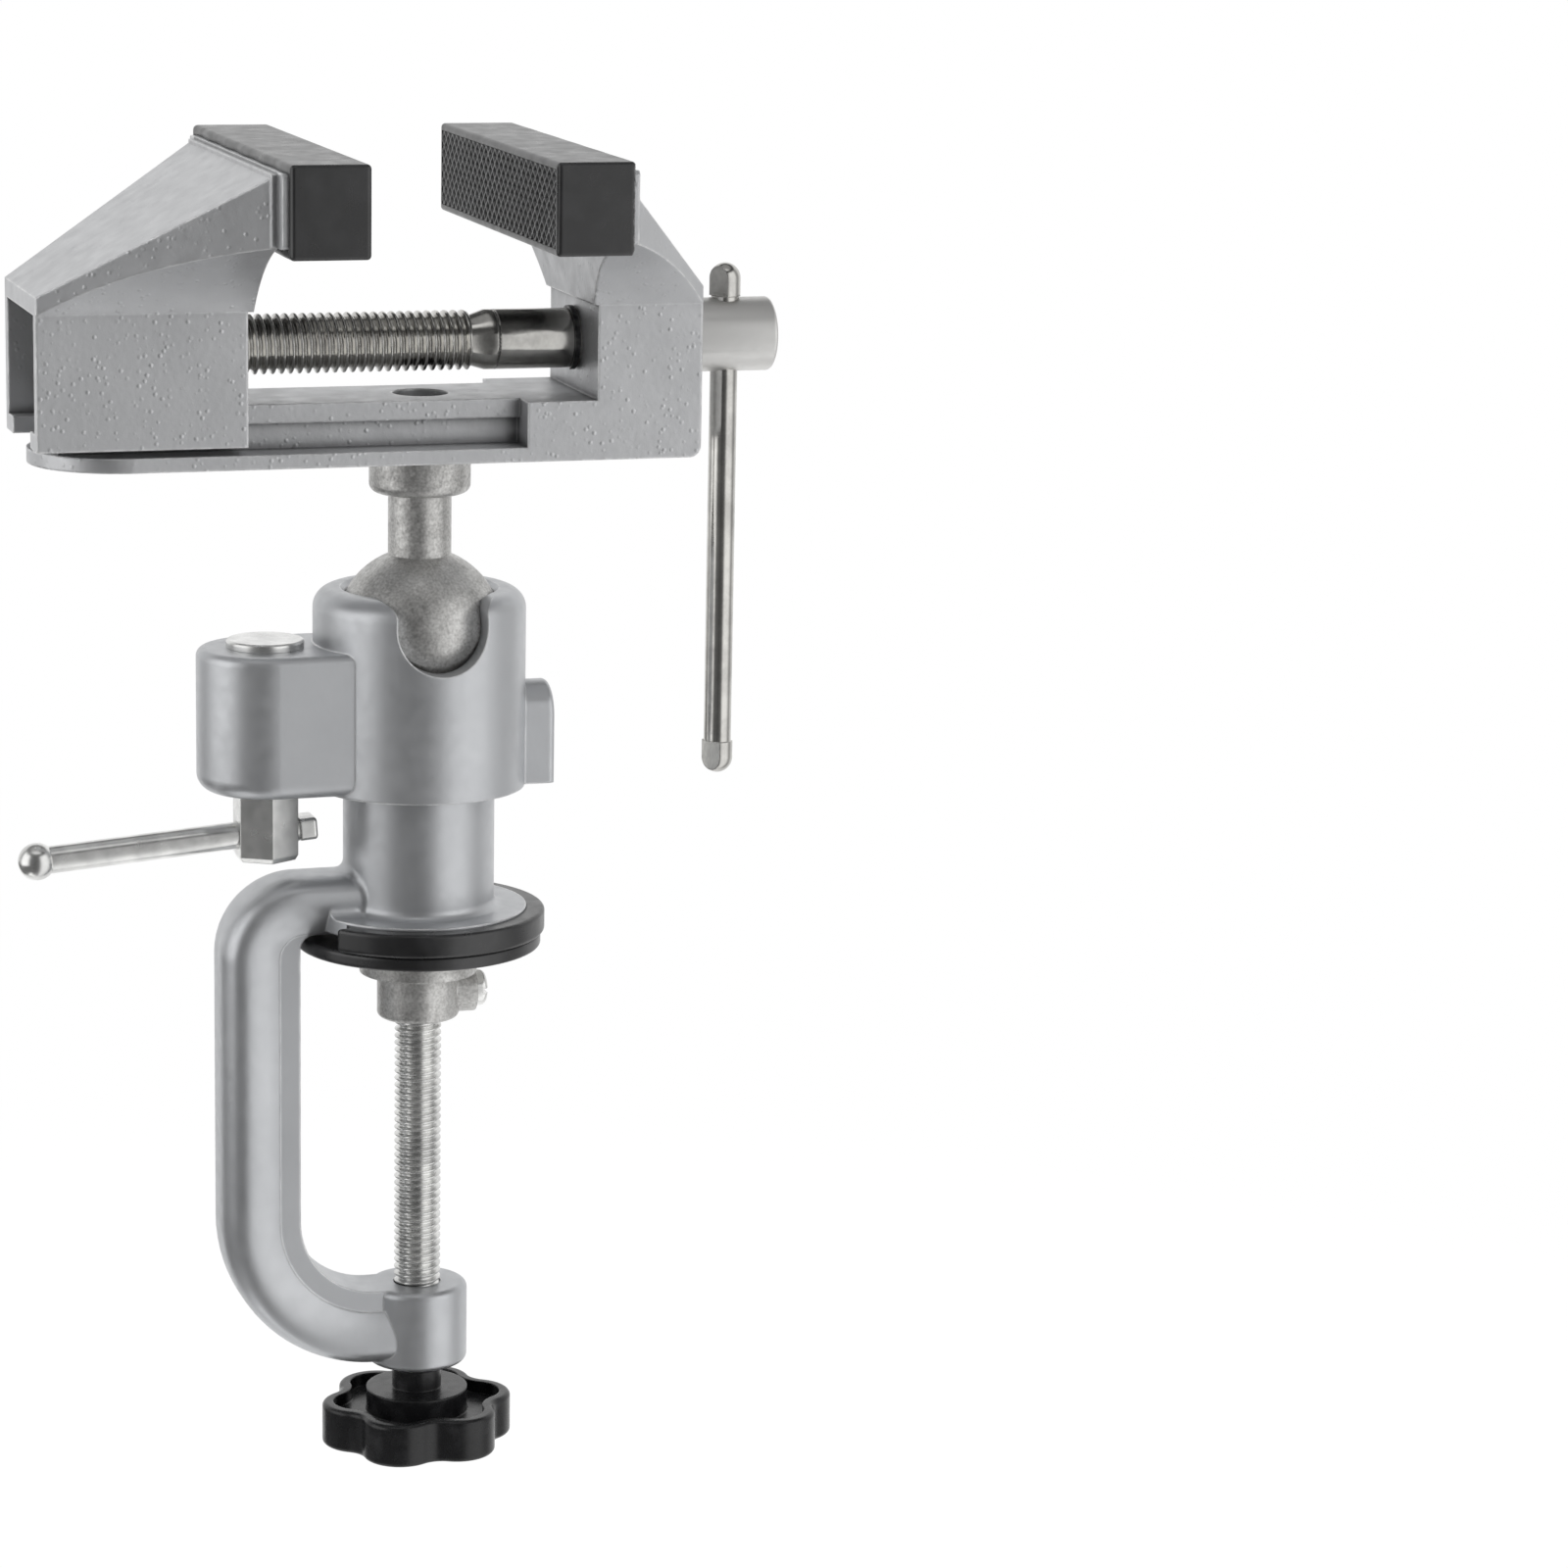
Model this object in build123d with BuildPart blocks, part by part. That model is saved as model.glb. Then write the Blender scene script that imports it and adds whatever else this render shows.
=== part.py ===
from build123d import *
from math import cos, radians, sin, sqrt, tan
import os

# Ball vise: two rubber-capped jaws closed by a lead screw, standing on a ball stud that is locked
# in a swivelling socket, on a C-frame that clamps to a table edge.
# Millimetres. +Z up, +X from the moving jaw to the fixed jaw, -Y to the front (the notch side).
# Origin: on the post axis, in the plane of the table top (the underside of the upper rubber pad).
# Heights named *_z are above the table; those named *_bz are above the ball's centre.

# ---------------------------------------------------------------- clearances
running_fit = 0.06      # radial, between a shaft and its bore
slide_gap = 0.3         # between castings that slide on each other
seat_gap = 0.05         # between a rubber cap and the casting it is pushed on
throat_gap = 0.3        # between pieces that only pass near each other

# ---------------------------------------------------------------- ball stud
ball_z = 51.8           # centre of the ball above the table
ball_r = 14.0
neck_r = 5.3
collar_r = 8.5
collar_h = 6.75
collar_round = 1.6
bed_bz = 30.2           # underside of the vise bed

# ---------------------------------------------------------------- vise bed and fixed jaw
bed_half_w = 14.6       # half width of plate, block and moving jaw body
bed_x0 = -65.6
plate_h = 2.4
web_half_w = 8.0
web_h = 4.35
rail_half_w = 9.5
rail_h = 3.2
rail_x0 = -62.0
shoulder_x = 14.6       # where the bed becomes full width
block_x0 = 26.5
block_x1 = 44.5
block_round = 2.0
cast_round = 0.8
screw_rise = 8.65       # rail top to the lead screw axis
ridge_rise = 7.1        # lead screw axis to the ridge on the sides of the castings
slope_rise = 2.9        # ridge to the low end of the sloping top
face_lean = 1.8         # how far the fixed jaw's inner face leans in between ridge and flange
fixed_slope_drop = 3.6  # flange top to the high end of the fixed jaw's sloping top
moving_slope_drop = 0.4

# ---------------------------------------------------------------- jaw caps
cap_w = 75.0
cap_h = 15.0
cap_depth = 13.3
cap_wall = 1.5
cap_face = 2.0
cap_round = 0.9
cap_rise = 10.6         # ridge to the underside of the caps
fixed_face_x = 12.9     # gripping face of the fixed jaw
jaw_gap = 30.15         # between the gripping faces
flare_inset = 3.5       # flange end to the end of the flared casting
flare_hollow = 1.2      # how far the flare's underside is hollowed from the straight
flange_tail = 0.7       # how far the flange stands out behind its cap

# ---------------------------------------------------------------- moving jaw body
jaw_x0 = -66.5
jaw_x1 = -32.2
jaw_wall = 2.1
jaw_roof = 3.0
jaw_end_wall = 5.0
jaw_roof_slope = 20.0   # degrees, the roof of the hollow
jaw_floor_gap = 1.3     # bed plate to the jaw's underside
foot_h = 2.75
nut_t = 8.0
nut_drop = 6.8          # screw axis to the underside of the nut
nut_rise = 6.6

# ---------------------------------------------------------------- lead screw and its bar
lead_r = 5.0
lead_pitch = 1.5
lead_depth = 0.85
lead_x0 = -56.0
lead_thread_x1 = 7.8
lead_runout = 2.9
hub_r = 6.25
hub_len = 15.9
hub_round = 0.7
ring_r = 5.4
ring_t = 0.9
ring_groove_r = 4.3
ring_slot = 3.0
bar_x = 8.1             # hub's inner face to the bar's axis
bar_r = 2.35
bar_crimp = 5.6
bar_crimp_w = 2.65      # half width across the crimp
bar_crimp_t = 1.6       # half thickness of the crimp
bar_crimp_turn = 29.4   # degrees, the way that the crimp's flats face
bar_len = 88.0
bar_stop_gap = 0.3

# ---------------------------------------------------------------- bed fixing screw
fix_bore_r = 4.72
fix_head_r = 4.2
fix_head_h = 3.2
fix_r = 2.5
fix_len = 14.0
fix_hex = 4.0
fix_hex_h = 2.2
fix_seat = 1.9          # plate underside to the washer's seat
washer_t = 1.0
washer_slit = 0.8

# ---------------------------------------------------------------- socket housing
housing_r = 17.9
housing_top_bz = 7.4
housing_base_bz = -26.3
bore_r = 14.2
seat_r = 14.05
rim_round = 3.4
rim_lip = 0.9
notch_half_w = 7.66
notch_centre_bz = 2.86
notch_flare = 2.6
lock_x = -26.4
lock_boss_r = 11.5
lock_boss_top_bz = -1.8
lock_boss_base_bz = -26.0
lock_boss_round = 1.5
lock_boss_base_round = 3.0
screw_boss_x = 22.4
screw_boss_half_w = 5.5
screw_boss_top_bz = -9.3
housing_round = 1.0

# ---------------------------------------------------------------- lock
cam_head_r = 6.5
cam_head_h = 1.4
cam_r = 5.7
cam_lobe_r = 5.0
cam_throw = 0.6
cam_lobe_h = 8.4
cam_hex_corner = 5.7
cam_hex_top_bz = -26.4
cam_hex_base_bz = -37.9
hex_chamfer = 0.9
wedge_bz = -16.2        # post top, seat base and the push pin's axis
pin_r = 3.2
pin_bore_gap = 0.05
pin_tail_x = -21.1
pin_tip_x = 12.1        # where the pin's cone would reach its axis, from the post axis
pin_tip_flat = 0.3
lever_bz = -33.4        # lock bar's axis where it crosses the camshaft
lever_droop = 4.5       # degrees
lever_r = 2.3
lever_reach = 38.7      # camshaft axis to the centre of the ball end
lever_knob_r = 3.13
lever_tail = 8.4        # camshaft axis to the crimped tip
lever_crimp = 2.9
lever_crimp_w = 2.75
lever_crimp_t = 1.9

# ---------------------------------------------------------------- ball seat and post head
seat_top_bz = -9.5
seat_outer_r = 13.95
wedge_r = 11.2          # where the 45 degree chamfers start
post_r = 12.8
journal_r = 14.13
journal_base_bz = -26.0
groove_bz = -22.7
groove_h = 3.4
groove_r = 12.2
grub_r = 2.0
grub_dog_r = 1.3
grub_recess = 0.5
grub_hex = 2.0
grub_hex_h = 1.8

# ---------------------------------------------------------------- frame
flange_r = 18.3
flange_z = 1.9
flange_h = 2.6
post_round = 1.5
table_pad_r = 21.45
table_pad_h = 4.1
table_pad_slot = 13.0   # half width
table_pad_slot_x = -15.0
arm_crease_x = -25.2
arm_crease_half_w = 5.2
arm_flank_half_w = 6.7
arm_flank_out = 4.0
arm_shoulder_half_w = 6.3
arm_shoulder_out = 7.8
arm_nose_half_w = 4.2
arm_nose_out = 9.2
arm_bulge = 9.6
arm_strip = 3.6
arm_strip_half_w = 4.9
arm_top_crease_z = 1.4
arm_low_crease_z = -66.3
arm_top_bend = 4.2
arm_low_bend = 17.2
arm_blend = 1.5
throat_z = 1.2
throat_round = 2.5
arm_bump_y = 1.3
arm_bump_z = -29.6
arm_bump_r = 1.4
arm_bump_h = 0.25
boss_r = 8.6
boss_base_z = -76.9
boss_round = 1.2

# ---------------------------------------------------------------- clamp screw, pressure pad, knob
clamp_r = 4.0
clamp_pitch = 1.25
clamp_depth = 0.7
press_pad_r = 20.8
press_pad_h = 2.3
press_pad_round = 0.5
disc_r = 17.5
disc_h = 1.3
socket_flange_r = 10.0
socket_flange_z = -7.2
socket_r = 7.0
socket_base_z = -15.2
socket_round = 0.9
side_flat_x = 9.6
side_flat_r = 3.9
side_screw_z = -11.0
side_screw_r = 1.5
side_dog_r = 0.8
side_head_r = 3.1
side_head_h = 2.1
side_slot = 0.9
tip_r = 3.2
tip_top_z = -4.0
tip_groove_r = 2.3
tip_groove_h = 2.2
knob_rim_drop = 6.9     # lower boss to the knob's rim
knob_h = 7.45
knob_lobes = 6
knob_lobe_r = 6.5
knob_tip_r = 16.6
knob_valley_round = 4.0
knob_rim_w = 1.9
knob_recess = 2.2
knob_bead = 0.8
knob_disc_r = 8.73
knob_disc_rise = 1.9
knob_neck_r = 4.25
knob_neck_gap = 1.3     # lower boss to the knob's neck
knob_screw_depth = 6.0

# ---------------------------------------------------------------- worked-out places
bed_z = ball_z + bed_bz
plate_z = bed_z + plate_h
rail_z = plate_z + web_h
rail_top_z = rail_z + rail_h
screw_z = rail_top_z + screw_rise
ridge_z = screw_z + ridge_rise
cap_z = ridge_z + cap_rise
cap_top_z = cap_z + cap_h
flange_low_z = cap_z + cap_wall + seat_gap
flange_top_z = cap_top_z - cap_wall - seat_gap
flange_half_w = cap_w / 2 - cap_wall - seat_gap
flare_half_w = flange_half_w - flare_inset
flare_curve = [
    (bed_half_w, ridge_z),
    ((bed_half_w + flare_half_w) / 2 - flare_hollow, (ridge_z + flange_low_z) / 2 + flare_hollow),
    (flare_half_w, flange_low_z),
]
under_flare = [flare_curve[-1], (cap_w, flange_low_z), (cap_w, ridge_z), flare_curve[0]]
moving_face_x = fixed_face_x - jaw_gap
fixed_back_x = fixed_face_x + cap_depth + flange_tail
moving_back_x = moving_face_x - cap_depth - flange_tail
jaw_base_z = plate_z + jaw_floor_gap
hollow_z = ridge_z + slope_rise - jaw_roof
hollow_x1 = jaw_x1 - jaw_end_wall
nut_x0 = hollow_x1 - nut_t
nut_half_w = bed_half_w - jaw_wall - slide_gap
hub_x0 = block_x1 + slide_gap
bar_axis_x = hub_x0 + bar_x
bar_top_z = screw_z + hub_r + bar_stop_gap + bar_crimp
wedge_z = ball_z + wedge_bz
groove_z = ball_z + groove_bz
housing_base_z = ball_z + housing_base_bz
housing_top_z = ball_z + housing_top_bz
lock_top_z = ball_z + lock_boss_top_bz
lock_base_z = ball_z + lock_boss_base_bz
arm_face_x = arm_crease_x + arm_strip
boss_top_z = arm_low_crease_z + arm_strip
knob_rim_z = boss_base_z - knob_rim_drop
knob_neck_top_z = boss_base_z - knob_neck_gap
knob_base_z = knob_rim_z - knob_h
knob_disc_z = knob_rim_z + knob_disc_rise
beyond = 60.0           # longer than anything that a cut has to pass


def ring_thread(crest, pitch, depth, start, end):
    """(along, radius) of a ridged rod: each pitch has a root, a slope up, a crest, a slope down."""
    turns = round((end - start) / pitch)
    step = (end - start) / turns
    points = [(start, crest - depth)]
    for turn in range(turns):
        foot = start + turn * step
        points += [
            (foot + 0.10 * step, crest - depth),
            (foot + 0.44 * step, crest),
            (foot + 0.56 * step, crest),
            (foot + 0.90 * step, crest - depth),
        ]
    points.append((end, crest - depth))
    return points


# ================================================================ clamp frame
# One casting: post with its swivel journal, round flange, C-shaped arm and threaded lower boss.
with BuildPart() as c_frame:
    with BuildSketch(Plane.XZ):
        with BuildLine():
            Polyline(
                (0, flange_z),
                (flange_r, flange_z),
                (flange_r, flange_z + flange_h),
                (post_r + post_round, flange_z + flange_h),
            )
            RadiusArc(
                (post_r + post_round, flange_z + flange_h),
                (post_r, flange_z + flange_h + post_round),
                post_round,
            )
            Polyline(
                (post_r, flange_z + flange_h + post_round),
                (post_r, ball_z + journal_base_bz),
                (journal_r, ball_z + journal_base_bz),
                (journal_r, groove_z - groove_h / 2),
                (groove_r, groove_z - groove_h / 2),
                (groove_r, groove_z + groove_h / 2),
                (journal_r, groove_z + groove_h / 2),
                (journal_r, wedge_z - (journal_r - wedge_r)),
                (wedge_r, wedge_z),
                (0, wedge_z),
                (0, flange_z),
            )
        make_face()
    revolve(axis=Axis.Z)
    with BuildLine(mode=Mode.PRIVATE) as arm_path:
        FilletPolyline(
            (-post_r / 2, 0, arm_top_crease_z),
            (arm_crease_x, 0, arm_top_crease_z),
            (arm_crease_x, 0, (arm_top_crease_z + arm_low_crease_z) / 2),
            radius=arm_top_bend,
        )
    with BuildLine(mode=Mode.PRIVATE) as low_arm_path:
        FilletPolyline(
            (arm_crease_x, 0, (arm_top_crease_z + arm_low_crease_z) / 2),
            (arm_crease_x, 0, arm_low_crease_z),
            (-boss_r / 3, 0, arm_low_crease_z),
            radius=arm_low_bend,
        )
    for path, start, ahead, out in (
        (arm_path, (-post_r / 2, 0, arm_top_crease_z), (-1, 0, 0), (0, -1, 0)),
        (
            low_arm_path,
            (arm_crease_x, 0, (arm_top_crease_z + arm_low_crease_z) / 2),
            (0, 0, -1),
            (0, -1, 0),
        ),
    ):
        with BuildSketch(Plane(origin=start, x_dir=out, z_dir=ahead)):
            with BuildLine():
                Spline(
                    (arm_crease_half_w, 0),
                    (arm_flank_half_w, arm_flank_out),
                    (arm_shoulder_half_w, arm_shoulder_out),
                    (arm_nose_half_w, arm_nose_out),
                    (0, arm_bulge),
                    (-arm_nose_half_w, arm_nose_out),
                    (-arm_shoulder_half_w, arm_shoulder_out),
                    (-arm_flank_half_w, arm_flank_out),
                    (-arm_crease_half_w, 0),
                )
                Polyline(
                    (-arm_crease_half_w, 0),
                    (-arm_strip_half_w, 0),
                    (-arm_strip_half_w, -arm_strip),
                    (arm_strip_half_w, -arm_strip),
                    (arm_strip_half_w, 0),
                    (arm_crease_half_w, 0),
                )
            make_face()
        sweep(path=path.wire())
    with BuildSketch(Plane.XY.offset(boss_base_z)):
        Circle(boss_r)
    extrude(amount=boss_top_z - boss_base_z)
    fillet(c_frame.edges().group_by(Axis.Z)[0], boss_round)
    # the throat over the table edge, with a rounded upper corner
    with BuildSketch(Plane.XZ):
        with BuildLine():
            Polyline(
                (arm_face_x, throat_z - throat_round),
                (arm_face_x, throat_z - beyond / 2),
                (0, throat_z - beyond / 2),
                (0, flange_z),
                (table_pad_slot_x - throat_gap, flange_z),
                (table_pad_slot_x - throat_gap, throat_z),
                (arm_face_x + throat_round, throat_z),
            )
            RadiusArc(
                (arm_face_x + throat_round, throat_z),
                (arm_face_x, throat_z - throat_round),
                -throat_round,
            )
        make_face()
    extrude(amount=flange_r, both=True, mode=Mode.SUBTRACT)
    with BuildSketch(Plane.XY.offset(boss_base_z)):
        Circle(clamp_r + running_fit)
    extrude(amount=boss_top_z - boss_base_z, mode=Mode.SUBTRACT)
    with BuildSketch(Plane.YZ.offset(arm_face_x)):
        with Locations((arm_bump_y, arm_bump_z)):
            Circle(arm_bump_r)
    extrude(amount=arm_bump_h)
    # the arm runs into the flange and post with a cast fillet, and the boss has a rounded top rim
    fillet(
        c_frame.edges().filter_by(
            lambda edge: edge.bounding_box().min.Z > flange_z + flange_h - 0.01
            and edge.bounding_box().max.X < 0
        ),
        arm_blend,
    )
    fillet(
        c_frame.edges().filter_by(
            lambda edge: abs(edge.bounding_box().min.Z - boss_top_z) < 0.01
            and edge.bounding_box().max.Z - boss_top_z < 0.01
            and abs(edge.bounding_box().max.X - boss_r) < 0.01
        ),
        boss_round,
    )
c_frame.part.label = "c_frame"

# Rubber cup under the flange, open where the arm leaves.
with BuildPart() as table_pad:
    with BuildSketch():
        Circle(table_pad_r)
    extrude(amount=table_pad_h)
    fillet(table_pad.edges().group_by(Axis.Z)[0], 0.8)
    fillet(table_pad.edges().group_by(Axis.Z)[-1], 0.6)
    with BuildSketch(Plane.XY.offset(flange_z)):
        Circle(flange_r + seat_gap)
    extrude(amount=table_pad_h, mode=Mode.SUBTRACT)
    with BuildSketch():
        with Locations((table_pad_slot_x - beyond / 2, 0)):
            Rectangle(beyond, 2 * table_pad_slot)
    extrude(amount=table_pad_h, mode=Mode.SUBTRACT)
table_pad.part.label = "table_pad"

# ================================================================ socket housing
# Casting with a ball seat from below, a notch for the stud, and bosses for camshaft and grub screw.
with BuildPart() as socket_housing:
    with BuildSketch(Plane.XZ):
        with BuildLine():
            Polyline(
                (0, housing_base_z),
                (housing_r, housing_base_z),
                (housing_r, housing_top_z - rim_round),
            )
            RadiusArc(
                (housing_r, housing_top_z - rim_round),
                (housing_r - rim_round, housing_top_z),
                -rim_round,
            )
            Polyline((housing_r - rim_round, housing_top_z), (0, housing_top_z), (0, housing_base_z))
        make_face()
    revolve(axis=Axis.Z)
    with BuildSketch(Plane.XY.offset(lock_base_z)):
        with Locations((lock_x, 0)):
            Circle(lock_boss_r)
        with Locations((lock_x / 2, 0)):
            Rectangle(-lock_x, 2 * lock_boss_r)
    extrude(amount=lock_top_z - lock_base_z)
    with BuildSketch(Plane.YZ.offset(bore_r)):
        with BuildLine():
            arch_z = ball_z + screw_boss_top_bz - screw_boss_half_w
            Polyline(
                (-screw_boss_half_w, arch_z),
                (-screw_boss_half_w, housing_base_z),
                (screw_boss_half_w, housing_base_z),
                (screw_boss_half_w, arch_z),
            )
            ThreePointArc(
                (screw_boss_half_w, arch_z),
                (0, arch_z + screw_boss_half_w),
                (-screw_boss_half_w, arch_z),
            )
        make_face()
    extrude(amount=screw_boss_x - bore_r)
    boss_rims = socket_housing.edges().filter_by(GeomType.CIRCLE).filter_by(
        lambda edge: abs(edge.radius - lock_boss_r) < 0.01
    )
    fillet(boss_rims.sort_by(Axis.Z)[-1], lock_boss_round)
    fillet(boss_rims.sort_by(Axis.Z)[0], lock_boss_base_round)
    fillet(
        socket_housing.faces().sort_by(Axis.X)[-1].edges().filter_by(GeomType.CIRCLE),
        housing_round,
    )
    # ball seat above the centre, plain bore below it
    with BuildSketch(Plane.XZ):
        with BuildLine():
            Polyline((0, housing_base_z), (bore_r, housing_base_z), (bore_r, ball_z))
            Line((bore_r, ball_z), (seat_r, ball_z))
            rim_r = sqrt(seat_r**2 - (housing_top_bz - rim_lip) ** 2)
            RadiusArc((seat_r, ball_z), (rim_r, housing_top_z - rim_lip), -seat_r)
            Polyline(
                (rim_r, housing_top_z - rim_lip),
                (rim_r + rim_lip, housing_top_z),
                (rim_r + rim_lip, housing_top_z + 1),
                (0, housing_top_z + 1),
                (0, housing_base_z),
            )
        make_face()
    revolve(axis=Axis.Z, mode=Mode.SUBTRACT)
    with BuildSketch(Plane.XZ):
        with BuildLine():
            notch_z = ball_z + notch_centre_bz
            flare_z = housing_top_z - notch_flare
            Line((-notch_half_w, flare_z), (-notch_half_w, notch_z))
            ThreePointArc(
                (-notch_half_w, notch_z), (0, notch_z - notch_half_w), (notch_half_w, notch_z)
            )
            Line((notch_half_w, notch_z), (notch_half_w, flare_z))
            RadiusArc(
                (notch_half_w, flare_z), (notch_half_w + notch_flare, housing_top_z), notch_flare
            )
            Polyline(
                (notch_half_w + notch_flare, housing_top_z),
                (notch_half_w + notch_flare, housing_top_z + 1),
                (-notch_half_w - notch_flare, housing_top_z + 1),
                (-notch_half_w - notch_flare, housing_top_z),
            )
            RadiusArc(
                (-notch_half_w - notch_flare, housing_top_z), (-notch_half_w, flare_z), notch_flare
            )
        make_face()
    extrude(amount=housing_r + 1, mode=Mode.SUBTRACT)
    with BuildSketch(Plane.XY.offset(lock_base_z)):
        with Locations((lock_x, 0)):
            Circle(cam_r + running_fit)
    extrude(amount=lock_top_z - lock_base_z, mode=Mode.SUBTRACT)
    with BuildSketch(Plane.YZ.offset(lock_x)):
        with Locations((0, wedge_z)):
            Circle(pin_r + pin_bore_gap)
    extrude(amount=-lock_x - bore_r / 2, mode=Mode.SUBTRACT)
    with BuildSketch(Plane.YZ.offset(bore_r / 2)):
        with Locations((0, groove_z)):
            Circle(grub_r + running_fit)
    extrude(amount=screw_boss_x, mode=Mode.SUBTRACT)
socket_housing.part.label = "socket_housing"

# Grub screw whose dog point runs in the post's groove and keeps the housing on.
with BuildPart() as housing_retaining_screw:
    with BuildSketch(Plane.YZ.offset(screw_boss_x - grub_recess)):
        with Locations((0, groove_z)):
            Circle(grub_r)
    extrude(amount=-(screw_boss_x - grub_recess - bore_r - slide_gap))
    with BuildSketch(Plane.YZ.offset(bore_r + slide_gap)):
        with Locations((0, groove_z)):
            Circle(grub_dog_r)
    extrude(amount=-(bore_r - groove_r))
    with BuildSketch(Plane.YZ.offset(screw_boss_x - grub_recess)):
        with Locations((0, groove_z)):
            RegularPolygon(grub_hex / sqrt(3), 6)
    extrude(amount=-grub_hex_h, mode=Mode.SUBTRACT)
housing_retaining_screw.part.label = "housing_retaining_screw"

# Cup that the push pin lifts against the ball.
with BuildPart() as ball_seat:
    with BuildSketch(Plane.XZ):
        with BuildLine():
            Polyline(
                (0, ball_z - seat_r),
                (0, wedge_z),
                (wedge_r, wedge_z),
                (seat_outer_r, wedge_z + seat_outer_r - wedge_r),
                (seat_outer_r, ball_z + seat_top_bz),
                (sqrt(seat_r**2 - seat_top_bz**2), ball_z + seat_top_bz),
            )
            RadiusArc(
                (sqrt(seat_r**2 - seat_top_bz**2), ball_z + seat_top_bz),
                (0, ball_z - seat_r),
                seat_r,
            )
        make_face()
    revolve(axis=Axis.Z)
ball_seat.part.label = "ball_seat"

# ================================================================ lock
# Pin with a wedge cone, pushed inwards by the camshaft.
with BuildPart() as push_pin:
    with BuildSketch(Plane.XZ):
        with BuildLine():
            Polyline(
                (pin_tail_x, wedge_z),
                (pin_tail_x, wedge_z + pin_r),
                (-pin_tip_x - pin_r, wedge_z + pin_r),
                (-pin_tip_x - pin_tip_flat, wedge_z + pin_tip_flat),
                (-pin_tip_x - pin_tip_flat, wedge_z),
                (pin_tail_x, wedge_z),
            )
        make_face()
    revolve(axis=Axis((0, 0, wedge_z), (1, 0, 0)))
push_pin.part.label = "push_pin"

# Round head, journal with an eccentric at the pin's height, hexagon below with the bar's hole.
lever_axis = Plane(
    origin=(lock_x, 0, ball_z + lever_bz),
    x_dir=(0, 1, 0),
    z_dir=(-cos(radians(lever_droop)), 0, -sin(radians(lever_droop))),
)
with BuildPart() as lock_camshaft:
    with BuildSketch(Plane.XY.offset(lock_top_z)):
        with Locations((lock_x, 0)):
            Circle(cam_head_r)
    extrude(amount=cam_head_h)
    fillet(lock_camshaft.edges().group_by(Axis.Z)[-1], 0.5)
    with BuildSketch(Plane.XY.offset(lock_top_z)):
        with Locations((lock_x, 0)):
            Circle(cam_r)
    extrude(amount=-(lock_top_z - wedge_z - cam_lobe_h / 2))
    with BuildSketch(Plane.XY.offset(wedge_z + cam_lobe_h / 2)):
        with Locations((lock_x, -cam_throw)):
            Circle(cam_lobe_r)
    extrude(amount=-cam_lobe_h)
    with BuildSketch(Plane.XY.offset(wedge_z - cam_lobe_h / 2)):
        with Locations((lock_x, 0)):
            Circle(cam_r)
    extrude(amount=-(wedge_z - cam_lobe_h / 2 - ball_z - cam_hex_top_bz))
    with BuildSketch(Plane.XY.offset(ball_z + cam_hex_top_bz)):
        with Locations((lock_x, 0)):
            RegularPolygon(cam_hex_corner, 6, rotation=90)
    extrude(amount=cam_hex_base_bz - cam_hex_top_bz)
    chamfer(lock_camshaft.edges().group_by(Axis.Z)[0], hex_chamfer, hex_chamfer / 2)
    with BuildSketch(lever_axis):
        Circle(lever_r + running_fit)
    extrude(amount=2 * cam_hex_corner, both=True, mode=Mode.SUBTRACT)
lock_camshaft.part.label = "lock_camshaft"

# Bar through the hexagon, with a ball end and a crimped end.
with BuildPart() as lock_bar:
    with BuildSketch(lever_axis.offset(lever_crimp - lever_tail)):
        Circle(lever_r)
    extrude(amount=lever_reach + lever_tail - lever_crimp)
    with BuildSketch(lever_axis.offset(lever_crimp - lever_tail)):
        RectangleRounded(2 * lever_crimp_w, 2 * lever_crimp_t, 0.8)
    extrude(amount=-lever_crimp)
    fillet(lock_bar.edges().group_by(Axis.X)[-1], 0.6)
    with Locations(lever_axis.offset(lever_reach)):
        Sphere(lever_knob_r)
lock_bar.part.label = "lock_bar"

# ================================================================ ball stud
with BuildPart() as ball_stud:
    with Locations((0, 0, ball_z)):
        Sphere(ball_r)
    with BuildSketch(Plane.XY.offset(ball_z + ball_r / 2)):
        Circle(neck_r)
    extrude(amount=bed_bz - ball_r / 2)
    with BuildSketch(Plane.XY.offset(bed_z)):
        Circle(collar_r)
    extrude(amount=-collar_h)
    collar_underside = ball_stud.faces().filter_by(Axis.Z).sort_by(Axis.Z)[0]
    fillet(collar_underside.edges().sort_by(SortBy.RADIUS)[-1], collar_round)
    with BuildSketch(Plane.XY.offset(bed_z)):
        Circle(fix_r + running_fit)
    extrude(amount=-fix_len, mode=Mode.SUBTRACT)
ball_stud.part.label = "ball_stud"

# Socket-head screw down through the bed into the stud.
with BuildPart() as stud_fixing_screw:
    head_z = bed_z + fix_seat + washer_t
    with BuildSketch(Plane.XY.offset(head_z)):
        Circle(fix_head_r)
    extrude(amount=fix_head_h)
    chamfer(stud_fixing_screw.edges().group_by(Axis.Z)[-1], 0.4)
    with BuildSketch(Plane.XY.offset(head_z)):
        Circle(fix_r)
    extrude(amount=-(head_z - bed_z + fix_len - 1))
    with BuildSketch(Plane.XY.offset(head_z + fix_head_h)):
        RegularPolygon(fix_hex / sqrt(3), 6)
    extrude(amount=-fix_hex_h, mode=Mode.SUBTRACT)
stud_fixing_screw.part.label = "stud_fixing_screw"

# Split washer under the screw's head.
with BuildPart() as stud_lock_washer:
    with BuildSketch(Plane.XY.offset(bed_z + fix_seat)):
        Circle(fix_head_r)
        Circle(fix_r + running_fit, mode=Mode.SUBTRACT)
        with Locations((0, fix_head_r)):
            Rectangle(washer_slit, 2 * fix_head_r, mode=Mode.SUBTRACT)
    extrude(amount=washer_t)
stud_lock_washer.part.label = "stud_lock_washer"

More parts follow.
